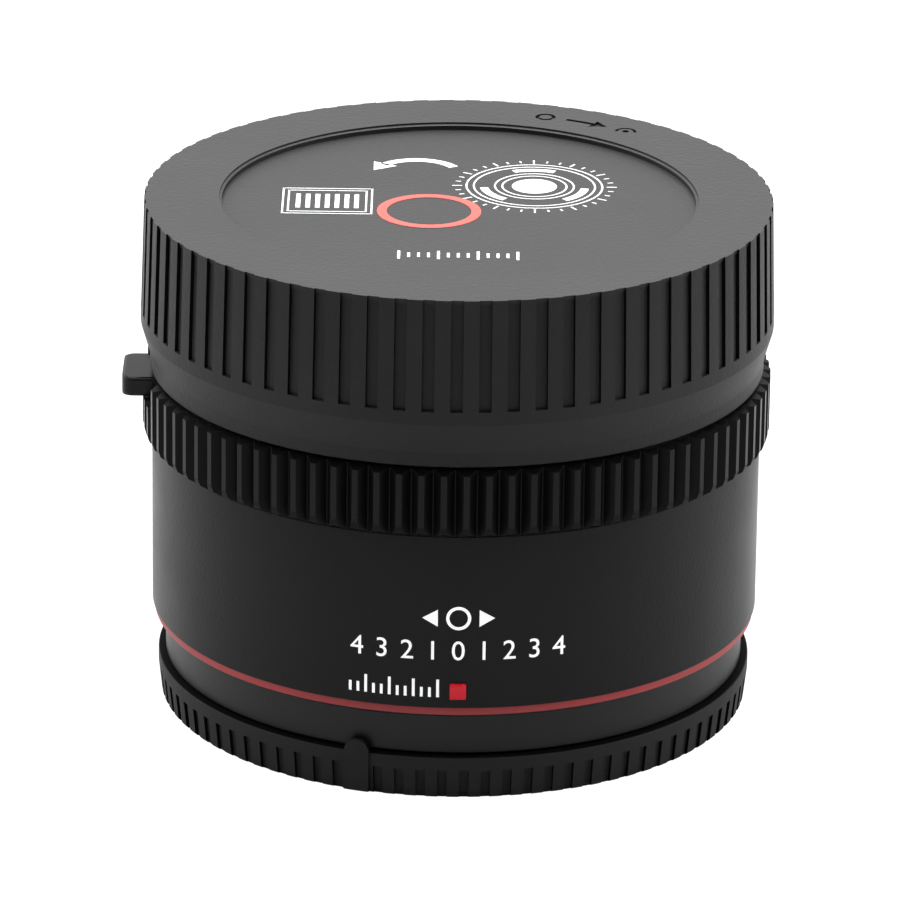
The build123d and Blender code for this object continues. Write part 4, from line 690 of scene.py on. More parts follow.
def build_finishes(colours):
    """Every finish of the object by the name of its material slot, and those of faces with none."""
    cap, barrel = tuple(colours.cap_plastic), tuple(colours.barrel_metal)
    white, coral = tuple(colours.print_white), tuple(colours.print_coral)
    # Base colour, roughness, specular level, scale and depth of the grain, and sometimes its contrast
    blasted = {
        "front_cap_plastic": (scaled(cap, 0.92), 0.46, 0.06, 2600.0, 0.04, 0.2),
        "cap_face": (scaled(cap, 0.8), 0.5, 0.5, 1900.0, 0.07, 0.2),
        # A near-black copy of the cap's plastic: painted shade on the grooves' side walls and on the rear
        # cap's upward faces
        "cap_groove": (scaled(cap, 0.2), 0.6, 0.02, 3000.0, 0.014),
        "rear_cap_plastic": (scaled(cap, 0.9), 0.5, 0.04, 2800.0, 0.02),
        "grip_metal": (tuple(colours.grip_metal), 0.3, 0.1, 7000.0, 0.002),
        # A duller, less reflective copy of the grip's black: painted shade in the flutes
        "grip_flute": ((0.003, 0.003, 0.0032), 0.4, 0.06, 5000.0, 0.004),
        "barrel_metal": (barrel, 0.4, 0.1, 2800.0, 0.022, 0.3),
        # A lighter, glossier copy of the barrel's black: painted light on the rear section
        "section_metal": (scaled(barrel, 1.6), 0.42, 0.17, 3000.0, 0.012, 0.3),
        "red_line": (tuple(colours.red_line), 0.42, 0.14, 4000.0, 0.004),
        "index_red": (tuple(colours.index_red), 0.2, 0.2, 2500.0, 0.001, 0.06),
        "seal_rubber": ((0.008, 0.008, 0.008), 0.7, 0.2, 5000.0, 0.01),
        "lever_metal": ((0.003, 0.003, 0.0031), 0.26, 0.12, 6000.0, 0.003),
        "inner_plastic": ((0.01, 0.01, 0.0105), 0.55, 0.3, 4500.0, 0.01),
        "cell_metal": ((0.008, 0.008, 0.0085), 0.45, 0.3, 5200.0, 0.006),
        "chip_plastic": ((0.014, 0.014, 0.015), 0.5, 0.4, 7000.0, 0.006),
        "connector_plastic": ((0.62, 0.58, 0.48), 0.42, 0.4, 6000.0, 0.005),
        "flex_film": ((0.36, 0.15, 0.02), 0.3, 0.5, 3000.0, 0.004),
    }
    # Base colour, roughness, and sometimes scale and depth of the turned lines
    lathed = {
        "mount_metal": ((0.72, 0.72, 0.72), 0.22),
        "screw_metal": ((0.66, 0.66, 0.67), 0.25, 12000.0),
        "small_screw_metal": ((0.06, 0.06, 0.062), 0.35, 12000.0),
        "spring_metal": ((0.55, 0.55, 0.56), 0.28, 14000.0),
        "frame_metal": ((0.03, 0.03, 0.032), 0.42, 6000.0, 0.006),
        "pin_metal": ((0.62, 0.62, 0.63), 0.2, 15000.0),
        "contact_gold": ((0.86, 0.6, 0.24), 0.2, 12000.0),
    }
    made = {name: grained(name, *values) for name, values in blasted.items()}
    made.update((name, machined(name, *values)) for name, values in lathed.items())
    made["lens_glass"] = coated_glass("lens_glass")
    made["board_laminate"] = laminate("board_laminate")
    made["print_white"] = ink("print_white", white, 0.0)
    # The barrel's print glows: painted light that keeps it bright
    made["barrel_print"] = ink("barrel_print", white, 0.3)
    made["print_coral"] = ink("print_coral", coral, 0.0)
    return made


FINISHES = {}


def finish(name):
    if not FINISHES:
        FINISHES.update(build_finishes(bpy.context.scene.finish_colours))
    return FINISHES[name]


# Front cap


def cap_outlines(sizes):
    """The outlines of the front cap through a rib and through a groove."""
    foot = flange_high.z - sizes.overlap
    straight = foot + sizes.skirt
    lip_level = straight + sizes.taper
    groove_foot = lip_level + sizes.lip
    top = cap_high.z
    ceiling = top - sizes.top_thickness
    lip_radius = cap_high.x
    top_radius = lip_radius - sizes.draft
    skirt_radius = lip_radius - sizes.flare
    bore = skirt_radius - sizes.wall
    recess = top_radius - sizes.rim
    face = top - sizes.recess_depth
    foot_share = (groove_foot - lip_level) / (top - lip_level)
    groove_radius = lip_radius - sizes.draft * foot_share
    spigot_inner = sizes.spigot_radius - sizes.spigot_wall
    over = [
        (0, face),
        (recess - sizes.recess_step, face, HAIR_FILLET),
        (recess - sizes.recess_step, top - sizes.step_foot * sizes.recess_depth, HAIR_FILLET),
        (recess, top - sizes.step_head * sizes.recess_depth, HAIR_FILLET),
        (recess, top, RIM_FILLET),
        (top_radius - sizes.mouth_depth, top),
    ]
    under = [
        (groove_radius, groove_foot),
        (lip_radius, lip_level, EDGE_FILLET),
        (skirt_radius, straight, SKIRT_FILLET),
        (skirt_radius, foot, FOOT_FILLET),
        (bore, foot, FINE_FILLET),
        (bore, ceiling, INNER_FILLET),
        (sizes.spigot_radius, ceiling),
        (sizes.spigot_radius, cap_low.z, EDGE_FILLET),
        (spigot_inner, cap_low.z, EDGE_FILLET),
        (spigot_inner, ceiling, INNER_FILLET),
        (0, ceiling),
    ]
    rib = rounded(over + [(top_radius, top)] + under)
    floor = [
        (top_radius - sizes.groove_depth, top - sizes.run_out),
        (groove_radius - sizes.groove_depth, groove_foot),
    ]
    groove = rounded(over + floor + under)
    return rib, groove


def claws(inner, outer, low, high, arc):
    """The claws of a cap, evenly round the axis."""
    middles = (CAP_CLAW_ANGLE + tau * i / CLAW_COUNT for i in range(CLAW_COUNT))
    return [ring_part(inner, outer, low, high, middle - arc / 2, arc) for middle in middles]


def claws_and_webs(sizes):
    """The claws on the spigot and the webs between the spigot and the skirt."""
    inner = sizes.spigot_radius - sizes.spigot_wall / 2
    outer = sizes.spigot_radius + sizes.claw_reach
    parts = claws(inner, outer, cap_low.z, cap_low.z + sizes.claw_thickness, sizes.claw_arc)
    web_outer = cap_high.x - sizes.flare - sizes.wall / 2
    web_low = flange_high.z + WEB_ROOM
    web_high = cap_high.z - sizes.top_thickness + OVERRUN / 2
    for i in range(sizes.web_count):
        turn = Matrix.Rotation(tau * i / sizes.web_count, 4, "Z")
        middle = Vector(((inner + web_outer) / 2, 0, (web_low + web_high) / 2))
        size = (web_outer - inner, sizes.web_thickness, web_high - web_low)
        parts.append(block(turn @ Matrix.Translation(middle), size))
    return gathered(*parts)


# Turn marks on the cap's rim: each one's place round the axis, and its sizes
MARK_RING_ANGLE = radians(71.2)
MARK_RING = mm(0.7, 1.15)  # inner and outer radius
MARK_SHAFT = radians(59.8), radians(6.6)  # start and angle
MARK_SHAFT_WIDTH = 0.6 * MM
MARK_HEAD_ANGLE = radians(58.9)
MARK_HEAD = 1.25 * MM
MARK_ARC_ANGLE = radians(51.7)
MARK_ARC = mm(0.85, 1.2)
MARK_ARC_SPAN = radians(-20), radians(200)
MARK_DOT = 0.4 * MM
MARK_STEPS = 32
MARK_SHAFT_STEPS = 12
MARK_DOT_SIDES = 20


def turn_marks(sizes):
    """The tools that cut a ring, an arrow and an arc with a dot into the cap's rim."""
    low, high = cap_high.z - sizes.mark_depth, cap_high.z + OVERRUN
    circle = sizes.mark_circle

    def hoop(place, inner, outer, start=0.0, angle=tau):
        made = bmesh.new()
        outline = [(inner, low), (outer, low), (outer, high), (inner, high)]
        sweep(made, outline, MARK_STEPS, start, angle, centre=(*around((0, 0), circle, place), 0))
        close_holes(made)
        return made

    def prism(place, radius, segments, turn=0.0):
        made = bmesh.new()
        middle = Matrix.Translation((*around((0, 0), circle, place), (low + high) / 2))
        bmesh.ops.create_cone(
            made, cap_ends=True, segments=segments, radius1=radius, radius2=radius, depth=high - low,
            matrix=middle @ Matrix.Rotation(turn, 4, "Z"),
        )
        return made

    half = MARK_SHAFT_WIDTH / 2
    shaft = ring_part(circle - half, circle + half, low, high, *MARK_SHAFT, MARK_SHAFT_STEPS)
    head = prism(MARK_HEAD_ANGLE, MARK_HEAD, 3, MARK_HEAD_ANGLE + pi)
    ring = hoop(MARK_RING_ANGLE, *MARK_RING)
    arc = hoop(MARK_ARC_ANGLE, *MARK_ARC, *MARK_ARC_SPAN)
    dot = prism(MARK_ARC_ANGLE, MARK_DOT, MARK_DOT_SIDES)
    return shaft, gathered(ring, arc, head, dot)


Facing = namedtuple("Facing", "outward sideways up radius level")
# Limits that tell a piece's surfaces apart
WALL_SIDEWAYS = 0.8
FACE_UP = 0.5
FACE_REACH = 1.5  # recess depths under the cap's top
RIM_UP = 0.95
FLUTE_UP = -0.3
TIP_OUTWARD = 0.9
TIP_SHARE = 0.9  # of a tooth's depth


def paint(obj, index, chosen):
    """Gives one of a piece's materials to the faces that are chosen by how and where they face.
    Outward, sideways and up are the normal's parts along the radius, round the axis and along it."""
    for face in obj.data.polygons:
        radius = face.center.xy.length
        spoke = Vector((1, 0)) if radius < MERGE else face.center.xy.normalized()
        across = face.normal.xy
        facing = Facing(across.dot(spoke), abs(across.cross(spoke)), face.normal.z, radius, face.center.z)
        if chosen(facing):
            face.material_index = index


def paint_groove_wall_shade(obj, lip_radius, sizes):
    """Gives a cap's last material, a near-black painted shade, to the side walls of its grooves."""
    inside = lip_radius - sizes.draft - 2 * sizes.groove_depth
    last = len(obj.data.materials) - 1
    paint(obj, last, lambda facing: facing.sideways > WALL_SIDEWAYS and facing.radius > inside)


class FrontCap(Operator):
    """Model the deep front cap with its ribs, recessed face, claws and webs"""

    bl_idname = "converter.front_cap"
    bl_label = "Front Cap"

    def execute(self, context):
        sizes = context.scene.front_cap_sizes
        rib, groove = cap_outlines(sizes)
        angle = sizes.groove_width / cap_high.x
        bm = grooved(rib, groove, sizes.rib_count, angle, -angle / 2)
        bm = boolean(bm, claws_and_webs(sizes), "UNION")
        for tool in turn_marks(sizes):
            bm = boolean(bm, tool, "DIFFERENCE")
        finishes = ("front_cap_plastic", "cap_face", "cap_groove")
        cap = add_piece(
            "front_cap_shell", bm, "front_cap", "front_cap_plastic", ["front_cap"], finishes, sizes.edge
        )
        below_face = cap_high.z - FACE_REACH * sizes.recess_depth
        paint(cap, 1, lambda facing: facing.up > FACE_UP and facing.level > below_face)
        # Painted shade on the side walls of the grooves
        paint_groove_wall_shade(cap, cap_high.x, sizes)
        return {"FINISHED"}


# Print on the cap's face. A drawing lies flat: X runs to the right, Y up, and it is centred on Z = 0.
MOUNT_PLACE = mm(8.2, 6.2)
MOUNT_CIRCLES = mm(7.4, 6.6, 4.3, 3.5)
MOUNT_MIDDLE = mm(1.25, 2.4)  # radius and width of a ring that is nearly a disc
MOUNT_CLAW = mm(5.5, 0.9)  # radius and width
MOUNT_CLAW_ARC = radians(48)
MOUNT_CLAW_STEPS = 16
MOUNT_RAY_COUNT = 36
MOUNT_RAY_CIRCLE = 8.4 * MM
MOUNT_RAYS = mm(1.1, 0.6)  # length of each third ray and of the others
BOX_PLACE = mm(-14.2, 0.4)
BOX_FRAMES = mm(9.6, 8.4), mm(8.4, 7.0)  # width and height
BOX_SILL = 0.94  # width of a frame's level lines, against the upright ones
BOX_BAR_COUNT = 7
BOX_BAR_PITCH = 1.05 * MM
BOX_BAR = mm(0.5, 4.6)
ARROW_PLACE = mm(-4.6, 10.2)
ARROW_LINE = mm(4.6, 1.1)  # radius and width
ARROW_SPAN = radians(30), radians(112)  # start and angle
ARROW_STEPS = 24
ARROW_TIP_ANGLE = radians(148)
ARROW_LEAN = radians(92)  # of its head against the radius
ARROW_HEAD = 1.7 * MM
SCALE_LEVEL = -17.0 * MM
SCALE_COUNT = 13
SCALE_PITCH = 1.05 * MM
SCALE_TICKS = mm(2.6, 1.4)  # length of each fourth tick and of the others
TICK_WIDTH = 0.3 * MM
CORAL_PLACE = mm(-3.2, -2.6)
CORAL_HEIGHT = 1.5  # against the white print's


def flat_bar(bm, middle, size, turn=0.0):
    """A flat printed bar at a turn about its middle."""
    place = Matrix.Translation((*middle, 0)) @ Matrix.Rotation(turn, 4, "Z")
    bmesh.ops.create_cube(bm, size=1, matrix=place @ Matrix.Diagonal((*size, 1)))


def flat_arc(bm, middle, radius, width, height, start=0.0, angle=tau, steps=48):
    """A flat printed ring, or a part of one."""
    inner, outer = radius - width / 2, radius + width / 2
    outline = [(inner, -height / 2), (outer, -height / 2), (outer, height / 2), (inner, height / 2)]
    sweep(bm, outline, steps, start, angle, centre=(*middle, 0))


def flat_wedge(bm, middle, radius, height, turn):
    """A flat printed triangle whose tip points along its turn."""
    place = Matrix.Translation((*middle, 0)) @ Matrix.Rotation(turn - pi / 2, 4, "Z")
    bmesh.ops.create_cone(
        bm, cap_ends=True, segments=3, radius1=radius, radius2=radius, depth=height, matrix=place
    )


def mount_figure(bm, line, height):
    """Circles, claws and rays, as a mount looks from the front."""
    for radius in MOUNT_CIRCLES:
        flat_arc(bm, MOUNT_PLACE, radius, line, height)
    flat_arc(bm, MOUNT_PLACE, *MOUNT_MIDDLE, height)
    for i in range(CLAW_COUNT):
        start = radians(90) + tau * i / CLAW_COUNT - MOUNT_CLAW_ARC / 2
        flat_arc(bm, MOUNT_PLACE, *MOUNT_CLAW, height, start, MOUNT_CLAW_ARC, MOUNT_CLAW_STEPS)
    for i in range(MOUNT_RAY_COUNT):
        turn = tau * i / MOUNT_RAY_COUNT
        reach = MOUNT_RAYS[0] if i % 3 == 0 else MOUNT_RAYS[1]
        flat_bar(bm, around(MOUNT_PLACE, MOUNT_RAY_CIRCLE, turn), (reach, line, height), turn)


def box_figure(bm, line, height):
    """A double frame with upright bars in it."""
    x, y = BOX_PLACE
    for wide, tall in BOX_FRAMES:
        for side in (-1, 1):
            flat_bar(bm, (x + side * wide / 2, y), (line, tall + line, height))
            flat_bar(bm, (x, y + side * tall / 2), (wide, BOX_SILL * line, height))
    for i in range(BOX_BAR_COUNT):
        across = (i - BOX_BAR_COUNT // 2) * BOX_BAR_PITCH
        flat_bar(bm, (x + across, y), (*BOX_BAR, height))


def turn_arrow(bm, height):
    """An arc with an arrow's head at its end."""
    flat_arc(bm, ARROW_PLACE, *ARROW_LINE, height, *ARROW_SPAN, ARROW_STEPS)
    tip = around(ARROW_PLACE, ARROW_LINE[0], ARROW_TIP_ANGLE)
    flat_wedge(bm, tip, ARROW_HEAD, height, ARROW_TIP_ANGLE + ARROW_LEAN)


def tick_row(bm, height):
    """A row of ticks, the way a scale has them."""
    for i in range(SCALE_COUNT):
        tall = SCALE_TICKS[0] if i % 4 == 0 else SCALE_TICKS[1]
        flat_bar(bm, ((i - SCALE_COUNT // 2) * SCALE_PITCH, SCALE_LEVEL), (TICK_WIDTH, tall, height))


class CapPrint(Operator):
    """Print a plain mount figure, a box, a turn arrow, a coral ring and ticks on the cap's face"""

    bl_idname = "converter.cap_print"
    bl_label = "Cap Print"

    def execute(self, context):
        sizes = context.scene.print_sizes
        face = cap_high.z - context.scene.front_cap_sizes.recess_depth
        height = 2 * sizes.proud
        white = bmesh.new()
        mount_figure(white, sizes.line_width, height)
        box_figure(white, sizes.line_width, height)
        turn_arrow(white, height)
        tick_row(white, height)
        coral = bmesh.new()
        flat_arc(coral, CORAL_PLACE, sizes.ring_radius, sizes.ring_width, CORAL_HEIGHT * height)
        for tone, drawing in (("print_white", white), ("print_coral", coral)):
            bmesh.ops.translate(drawing, vec=(0, 0, face), verts=drawing.verts[:])
            close_holes(drawing)
            add_piece("cap_" + tone, drawing, "front_cap", "front_cap_plastic", finishes=[tone])
        return {"FINISHED"}


# Grip ring and barrel
SEAM_ANGLE = radians(15)  # a tooth's faces that turn less than this from the seams are the seams


def tab_notch(sizes, outer):
    """The tool that cuts the gap for the lever's tab, over its whole travel."""
    side = (sizes.tab_width / 2 + sizes.notch_gap) / sizes.bore
    start = LEVER_ANGLE - side
    angle = 2 * side + sizes.lever_travel
    inner = sizes.bore - sizes.sleeve_wall
    low = lever_high.z - LEVER_PLATE - NOTCH_ROOM
    return ring_part(inner, outer + OVERRUN, low, grip_high.z + OVERRUN, start, angle)


def grip_tooth(sizes, floor_radius, bore, low, high):
    """One tooth with half the floor on each side, cut by the slopes at its foot and top."""
    tip = floor_radius + sizes.tooth_depth
    half_pitch = pi / sizes.tooth_count
    floor_turn = half_pitch - sizes.floor_width / 2 / floor_radius
    tip_turn = sizes.tip_width / 2 / tip
    corners = [
        (bore, -half_pitch),
        (floor_radius, -half_pitch),
        (floor_radius, -floor_turn),
        (tip, -tip_turn),
        (tip, tip_turn),
        (floor_radius, floor_turn),
        (floor_radius, half_pitch),
        (bore, half_pitch),
    ]
    bm = bmesh.new()
    extrude(bm, [(*around((0, 0), r, a), low) for r, a in corners], high - low)
    shoulder = (floor_radius + sizes.foot_shoulder, low + sizes.foot_slope)
    slopes = (
        ((floor_radius, low), shoulder, -1),
        (shoulder, (tip, low + sizes.lower_slope), -1),
        ((floor_radius, high), (tip, high - sizes.upper_slope), 1),
    )
    for start, end, side in slopes:
        run, rise = end[0] - start[0], end[1] - start[1]
        bmesh.ops.bisect_plane(
            bm, geom=bm.verts[:] + bm.edges[:] + bm.faces[:], dist=MERGE / 10, clear_outer=True,
            plane_co=(start[0], 0, start[1]), plane_no=Vector((abs(rise), 0, side * run)).normalized(),
        )
        close_holes(bm)
    bm.normal_update()
    seams = [f for f in bm.faces if abs(f.normal.y) > cos(SEAM_ANGLE)]
    bmesh.ops.delete(bm, geom=seams, context="FACES_ONLY")
    return bm


class GripRing(Operator):
    """Model the knurled ring, tooth by tooth, with the gap for the lever's tab"""

    bl_idname = "converter.grip_ring"
    bl_label = "Grip Ring"

    def execute(self, context):
        sizes = context.scene.grip_sizes
        bm = grip_tooth(sizes, barrel_high.x, sizes.bore, grip_low.z, grip_high.z)
        repeat(bm, sizes.tooth_count)
        close_holes(bm)
        lip_low = grip_high.z - sizes.lip
        lip = band(sizes.lip_bore, sizes.bore + LIP_OVERLAP, lip_low, grip_high.z, steps=180)
        bm = boolean(bm, lip, "UNION")
        notch = tab_notch(context.scene.barrel_sizes, barrel_high.x + sizes.tooth_depth)
        bm = boolean(bm, notch, "DIFFERENCE")
        finishes = ("grip_metal", "grip_flute")
        grip = add_piece("grip_knurl", bm, "barrel", "grip_metal", ["grip_ring"], finishes, sizes.edge)
        below_tip = barrel_high.x + TIP_SHARE * sizes.tooth_depth

        # Faces off the teeth's tips take the flute finish: painted shade in the flutes
        def flute(facing):
            return facing.up > FLUTE_UP and (facing.outward < TIP_OUTWARD or facing.radius < below_tip)

        paint(grip, 1, flute)
        return {"FINISHED"}


class LeverTab(Operator):
    """Model the part of the release lever that shows, with its rounded corners and edges"""

    bl_idname = "converter.lever_tab"
    bl_label = "Lever Tab"

    def execute(self, context):
        sizes = context.scene.lever_sizes
        end, top = lever_low.x - TAB_COVER_OUT, lever_high.z + TAB_COVER_UP
        middle = (end + sizes.length / 2, 0, top - sizes.thickness / 2)
        bm = block(Matrix.Translation(middle), (sizes.length, sizes.width, sizes.thickness))
        corners = [e for e in bm.edges if abs(e.verts[0].co.z - e.verts[1].co.z) > MERGE]
        corners = [e for e in corners if e.verts[0].co.x < middle[0]]
        round_edges(bm, corners, sizes.corner, segments=6)
        add_piece("lever_tab", bm, "release_lever", "lever_metal", edge=sizes.edge)
        return {"FINISHED"}


def index_place(radius):
    """The place of the red square's middle, at a radius."""
    middle = Vector((radius, 0, (index_low.z + index_high.z) / 2))
    return Matrix.Rotation(INDEX_ANGLE, 4, "Z") @ Matrix.Translation(middle)


class Barrel(Operator):
    """Model the barrel, the red line, the narrower rear section and the rubber seal"""

    bl_idname = "converter.barrel"
    bl_label = "Barrel"

    def execute(self, context):
        sizes = context.scene.barrel_sizes
        radius = barrel_high.x
        spigot = sizes.bore + sizes.spigot_wall
        sleeve = sizes.bore + sizes.sleeve_wall
        body = turned(
            [
                (spigot + FIT, barrel_low.z),
                (radius, barrel_low.z, sizes.edge),
                (radius, grip_low.z, sizes.edge),
                (sleeve, grip_low.z),
                (sleeve, barrel_high.z),
                (sizes.bore, barrel_high.z),
                (sizes.bore, section_high.z + FIT),
                (spigot + FIT, section_high.z + FIT),
            ]
        )
        side = sizes.index_size + INDEX_ROOM
        pocket = block(index_place(radius), (2 * sizes.index_depth, side, side))
        body = boolean(body, pocket, "DIFFERENCE")
        body = boolean(body, tab_notch(sizes, radius), "DIFFERENCE")
        add_piece("barrel_tube", body, "barrel", "barrel_metal", ["outer_barrel"])
        line_radius = trim_high.x - sizes.line_inset
        line = band(spigot, line_radius, trim_low.z, trim_high.z, sizes.edge, sizes.edge)
        add_piece("red_line_ring", line, "barrel", "red_line", ["red_trim_ring"])
        seal_gap = seal_high.x + FIT
        seal_bore = seal_high.x - sizes.seal_width
        seat = seal_bore + FIT
        ledge = seal_high.z + sizes.seal_ledge
        outer = sizes.section_radius
        inner = outer - sizes.section_wall
        section = turned(
            [
                (seal_gap, section_low.z - sizes.section_drop),
                (outer, section_low.z - sizes.section_drop, sizes.edge),
                (outer, trim_low.z - spigot + outer, INNER_FILLET),
                (spigot, trim_low.z),
                (spigot, section_high.z),
                (sizes.bore, section_high.z),
                (sizes.bore, trim_low.z),
                (inner, trim_low.z),
                (inner, ledge),
                (seat, ledge),
                (seat, seal_high.z),
                (seal_gap, seal_high.z),
            ]
        )
        nodes = ["rear_barrel_section"]
        # The rear section takes a lighter copy of the barrel's black: painted light
        add_piece("rear_section", section, "barrel", "barrel_metal", nodes, ["section_metal"])
        seal = band(seal_bore, seal_high.x, seal_low.z, seal_high.z, SEAL_FILLET, FINE_FILLET)
        add_piece("seal_lip", seal, "barrel", "seal_rubber", ["weather_seal"])
        return {"FINISHED"}


# Index mark and print on the barrel
SCALE_FIGURES = "432101234"
FONT_SHARE = 0.7  # height of a digit against its font's size
FONT_STEPS = 6
SIGN_RING = mm(1.15, 0.34)  # radius and width
SIGN_WEDGE = 1.1 * MM
SIGN_WEDGE_PLACE = 2.75 * MM
BARREL_TICK_COUNT = 12
BARREL_TICK_START = -11.6 * MM
BARREL_TICK_PITCH = 0.86 * MM
BARREL_TICK_FOOT = -1.0 * MM
BARREL_TICKS = mm(2.0, 1.1)  # length of each third tick and of the others


def wrap(bm, radius, level, turn=INDEX_ANGLE):
    """Bends a flat drawing onto the barrel: X runs round it, Y up, and Z stands out."""
    for vert in bm.verts:
        along, up, out = vert.co
        spoke = turn + along / radius
        vert.co = ((radius + out) * cos(spoke), (radius + out) * sin(spoke), level + up)


def digit(text, height, thickness):
    """A mesh of a plain digit, centred, its X along the row and its Y up."""
    curve = bpy.data.curves.new("digit", "FONT")
    curve.body = text
    curve.size = height / FONT_SHARE
    curve.align_x = "CENTER"
    curve.align_y = "CENTER"
    curve.extrude = thickness / 2
    curve.resolution_u = FONT_STEPS
    obj = new_object("digit", curve)
    mesh = bpy.data.meshes.new_from_object(obj.evaluated_get(bpy.context.evaluated_depsgraph_get()))
    bm = bmesh.new()
    bm.from_mesh(mesh)
    bpy.data.objects.remove(obj)
    bpy.data.meshes.remove(mesh)
    merge(bm)
    return bm


class BarrelPrint(Operator):
    """Print plain numbers, ticks and a turn sign on the barrel, and set the red square in it"""

    bl_idname = "converter.barrel_print"
    bl_label = "Barrel Print"

    def execute(self, context):
        sizes = context.scene.print_sizes
        radius = barrel_high.x
        height = 2 * sizes.proud
        row = []
        for i, figure in enumerate(SCALE_FIGURES):
            made = digit(figure, sizes.digit_height, height)
            across = (i - len(SCALE_FIGURES) // 2) * sizes.digit_pitch
            bmesh.ops.translate(made, vec=(across, 0, 0), verts=made.verts[:])
            row.append(made)
        numbers = gathered(*row)
        wrap(numbers, radius, sizes.digit_level)
        # The digits take the glowing print: painted light
        add_piece("barrel_digits", numbers, "barrel", "barrel_metal", finishes=["barrel_print"])
        sign = bmesh.new()
        flat_arc(sign, (0, 0), *SIGN_RING, height)
        for side, turn in ((-1, pi), (1, 0)):
            flat_wedge(sign, (side * SIGN_WEDGE_PLACE, 0), SIGN_WEDGE, height, turn)
        close_holes(sign)
        wrap(sign, radius, sizes.sign_level)
        ticks = bmesh.new()
        for i in range(BARREL_TICK_COUNT):
            tall = BARREL_TICKS[0] if i % 3 == 2 else BARREL_TICKS[1]
            middle = (BARREL_TICK_START + i * BARREL_TICK_PITCH, BARREL_TICK_FOOT + tall / 2)
            flat_bar(ticks, middle, (TICK_WIDTH, tall, height))
        close_holes(ticks)
        wrap(ticks, radius, sizes.tick_level)
        marks = gathered(sign, ticks)
        # The sign and ticks take the glowing print: painted light
        add_piece("barrel_marks", marks, "barrel", "barrel_metal", finishes=["barrel_print"])
        barrel = context.scene.barrel_sizes
        low, high = radius - barrel.index_depth, radius + barrel.index_proud
        index = block(index_place((low + high) / 2), (high - low, barrel.index_size, barrel.index_size))
        round_edges(index, index.edges[:], barrel.index_edge, segments=3)
        add_piece("index_square", index, "barrel", "index_red", ["index_mark"])
        return {"FINISHED"}


# Rear cap


def rear_cap_outlines(sizes):
    """The outlines of the rear cap through a rib and through a groove."""
    radius = rear_cap_high.x
    foot = radius - sizes.draft
    groove_top = sizes.height - sizes.lip
    ring_bore = sizes.ring_radius - sizes.ring_wall
    line_outer = sizes.line_radius + sizes.line_width
    under = [
        (0, 0),
        (sizes.line_radius, 0),
        (sizes.line_radius, sizes.line_depth),
        (line_outer, sizes.line_depth),
        (line_outer, 0),
        (foot - sizes.groove_depth, 0),
    ]
    over = [
        (radius, groove_top),
        (radius, sizes.height, LIP_FILLET),
        (radius - sizes.wall, sizes.height, FINE_FILLET),
        (radius - sizes.wall, sizes.floor, FOOT_FILLET),
        (sizes.ring_radius, sizes.floor),
        (sizes.ring_radius, sizes.ring_top, FINE_FILLET),
        (ring_bore, sizes.ring_top, FINE_FILLET),
        (ring_bore, sizes.floor, FOOT_FILLET),
        (0, sizes.floor),
    ]
    rib = rounded(under + [(foot - sizes.foot_edge, 0), (foot, sizes.foot_edge)] + over)
    groove = rounded(under + [(radius - sizes.groove_depth, groove_top)] + over)
    return rib, groove


def nub(sizes):
    """The half-round nub and the raised panel below it, bent round the cap."""
    half = sizes.nub_width / 2
    middle = rear_cap_high.z - half
    steps = 18
    outline = [(-half, sizes.foot_edge), (half, sizes.foot_edge)]
    outline += [(half * cos(pi * i / steps), middle + half * sin(pi * i / steps)) for i in range(steps + 1)]
    bm = bmesh.new()
    extrude(bm, [(x, y, 0) for x, y in outline], sizes.nub_thickness)
    for i in range(-3, 4):
        everything = bm.verts[:] + bm.edges[:] + bm.faces[:]
        bmesh.ops.bisect_plane(bm, geom=everything, plane_co=(i / 4 * half, 0, 0), plane_no=(1, 0, 0))
    wrap(bm, rear_cap_high.x + sizes.nub_proud - sizes.nub_thickness, 0, sizes.nub_angle)
    bmesh.ops.recalc_face_normals(bm, faces=bm.faces[:])
    return bm


class RearCap(Operator):
    """Model the shallow rear cap with its grooves, half-round nub, claws and turned line"""

    bl_idname = "converter.rear_cap"
    bl_label = "Rear Cap"

    def execute(self, context):
        sizes = context.scene.rear_cap_sizes
        rib, groove = rear_cap_outlines(sizes)
        angle = sizes.groove_width / rear_cap_high.x
        pitch = tau / sizes.groove_count
        first = sizes.nub_angle + pitch - angle / 2
        bm = grooved(rib, groove, sizes.groove_count, angle, first, plain=1, rib_steps=4, groove_steps=2)
        ring_middle = sizes.ring_radius - sizes.ring_wall / 2
        low, high = sizes.ring_top - sizes.claw_thickness, sizes.ring_top - MERGE
        parts = claws(sizes.claw_inner, ring_middle, low, high, sizes.claw_arc)
        bm = boolean(bm, gathered(*parts), "UNION")
        bm = boolean(bm, nub(sizes), "UNION")
        finishes = ("rear_cap_plastic", "cap_groove")
        cap = add_piece(
            "rear_cap_shell", bm, "rear_cap", "rear_cap_plastic", ["rear_cap"], finishes, sizes.edge
        )
        # Painted shade on the side walls of the grooves
        paint_groove_wall_shade(cap, rear_cap_high.x, sizes)
        # The cap's upward faces under its top, its top rim among them, take the same painted shade
        below_nub = sizes.height + MERGE
        paint(cap, 1, lambda facing: facing.up > RIM_UP and facing.level < below_nub)
        return {"FINISHED"}


# Carried-over parts


class InnerParts(Operator):
    """Give every carried-over part its finish"""

    bl_idname = "converter.inner_parts"
    bl_label = "Inner Parts"

    def execute(self, context):
        slots = {part["node"]: part["material_slot"] for part in frame["record"]["subparts"]}
        for name, obj in frame["nodes"].items():
            if obj.hide_render:
                continue
            obj.data.materials.clear()
            obj.data.materials.append(finish(slots[name]))
        return {"FINISHED"}


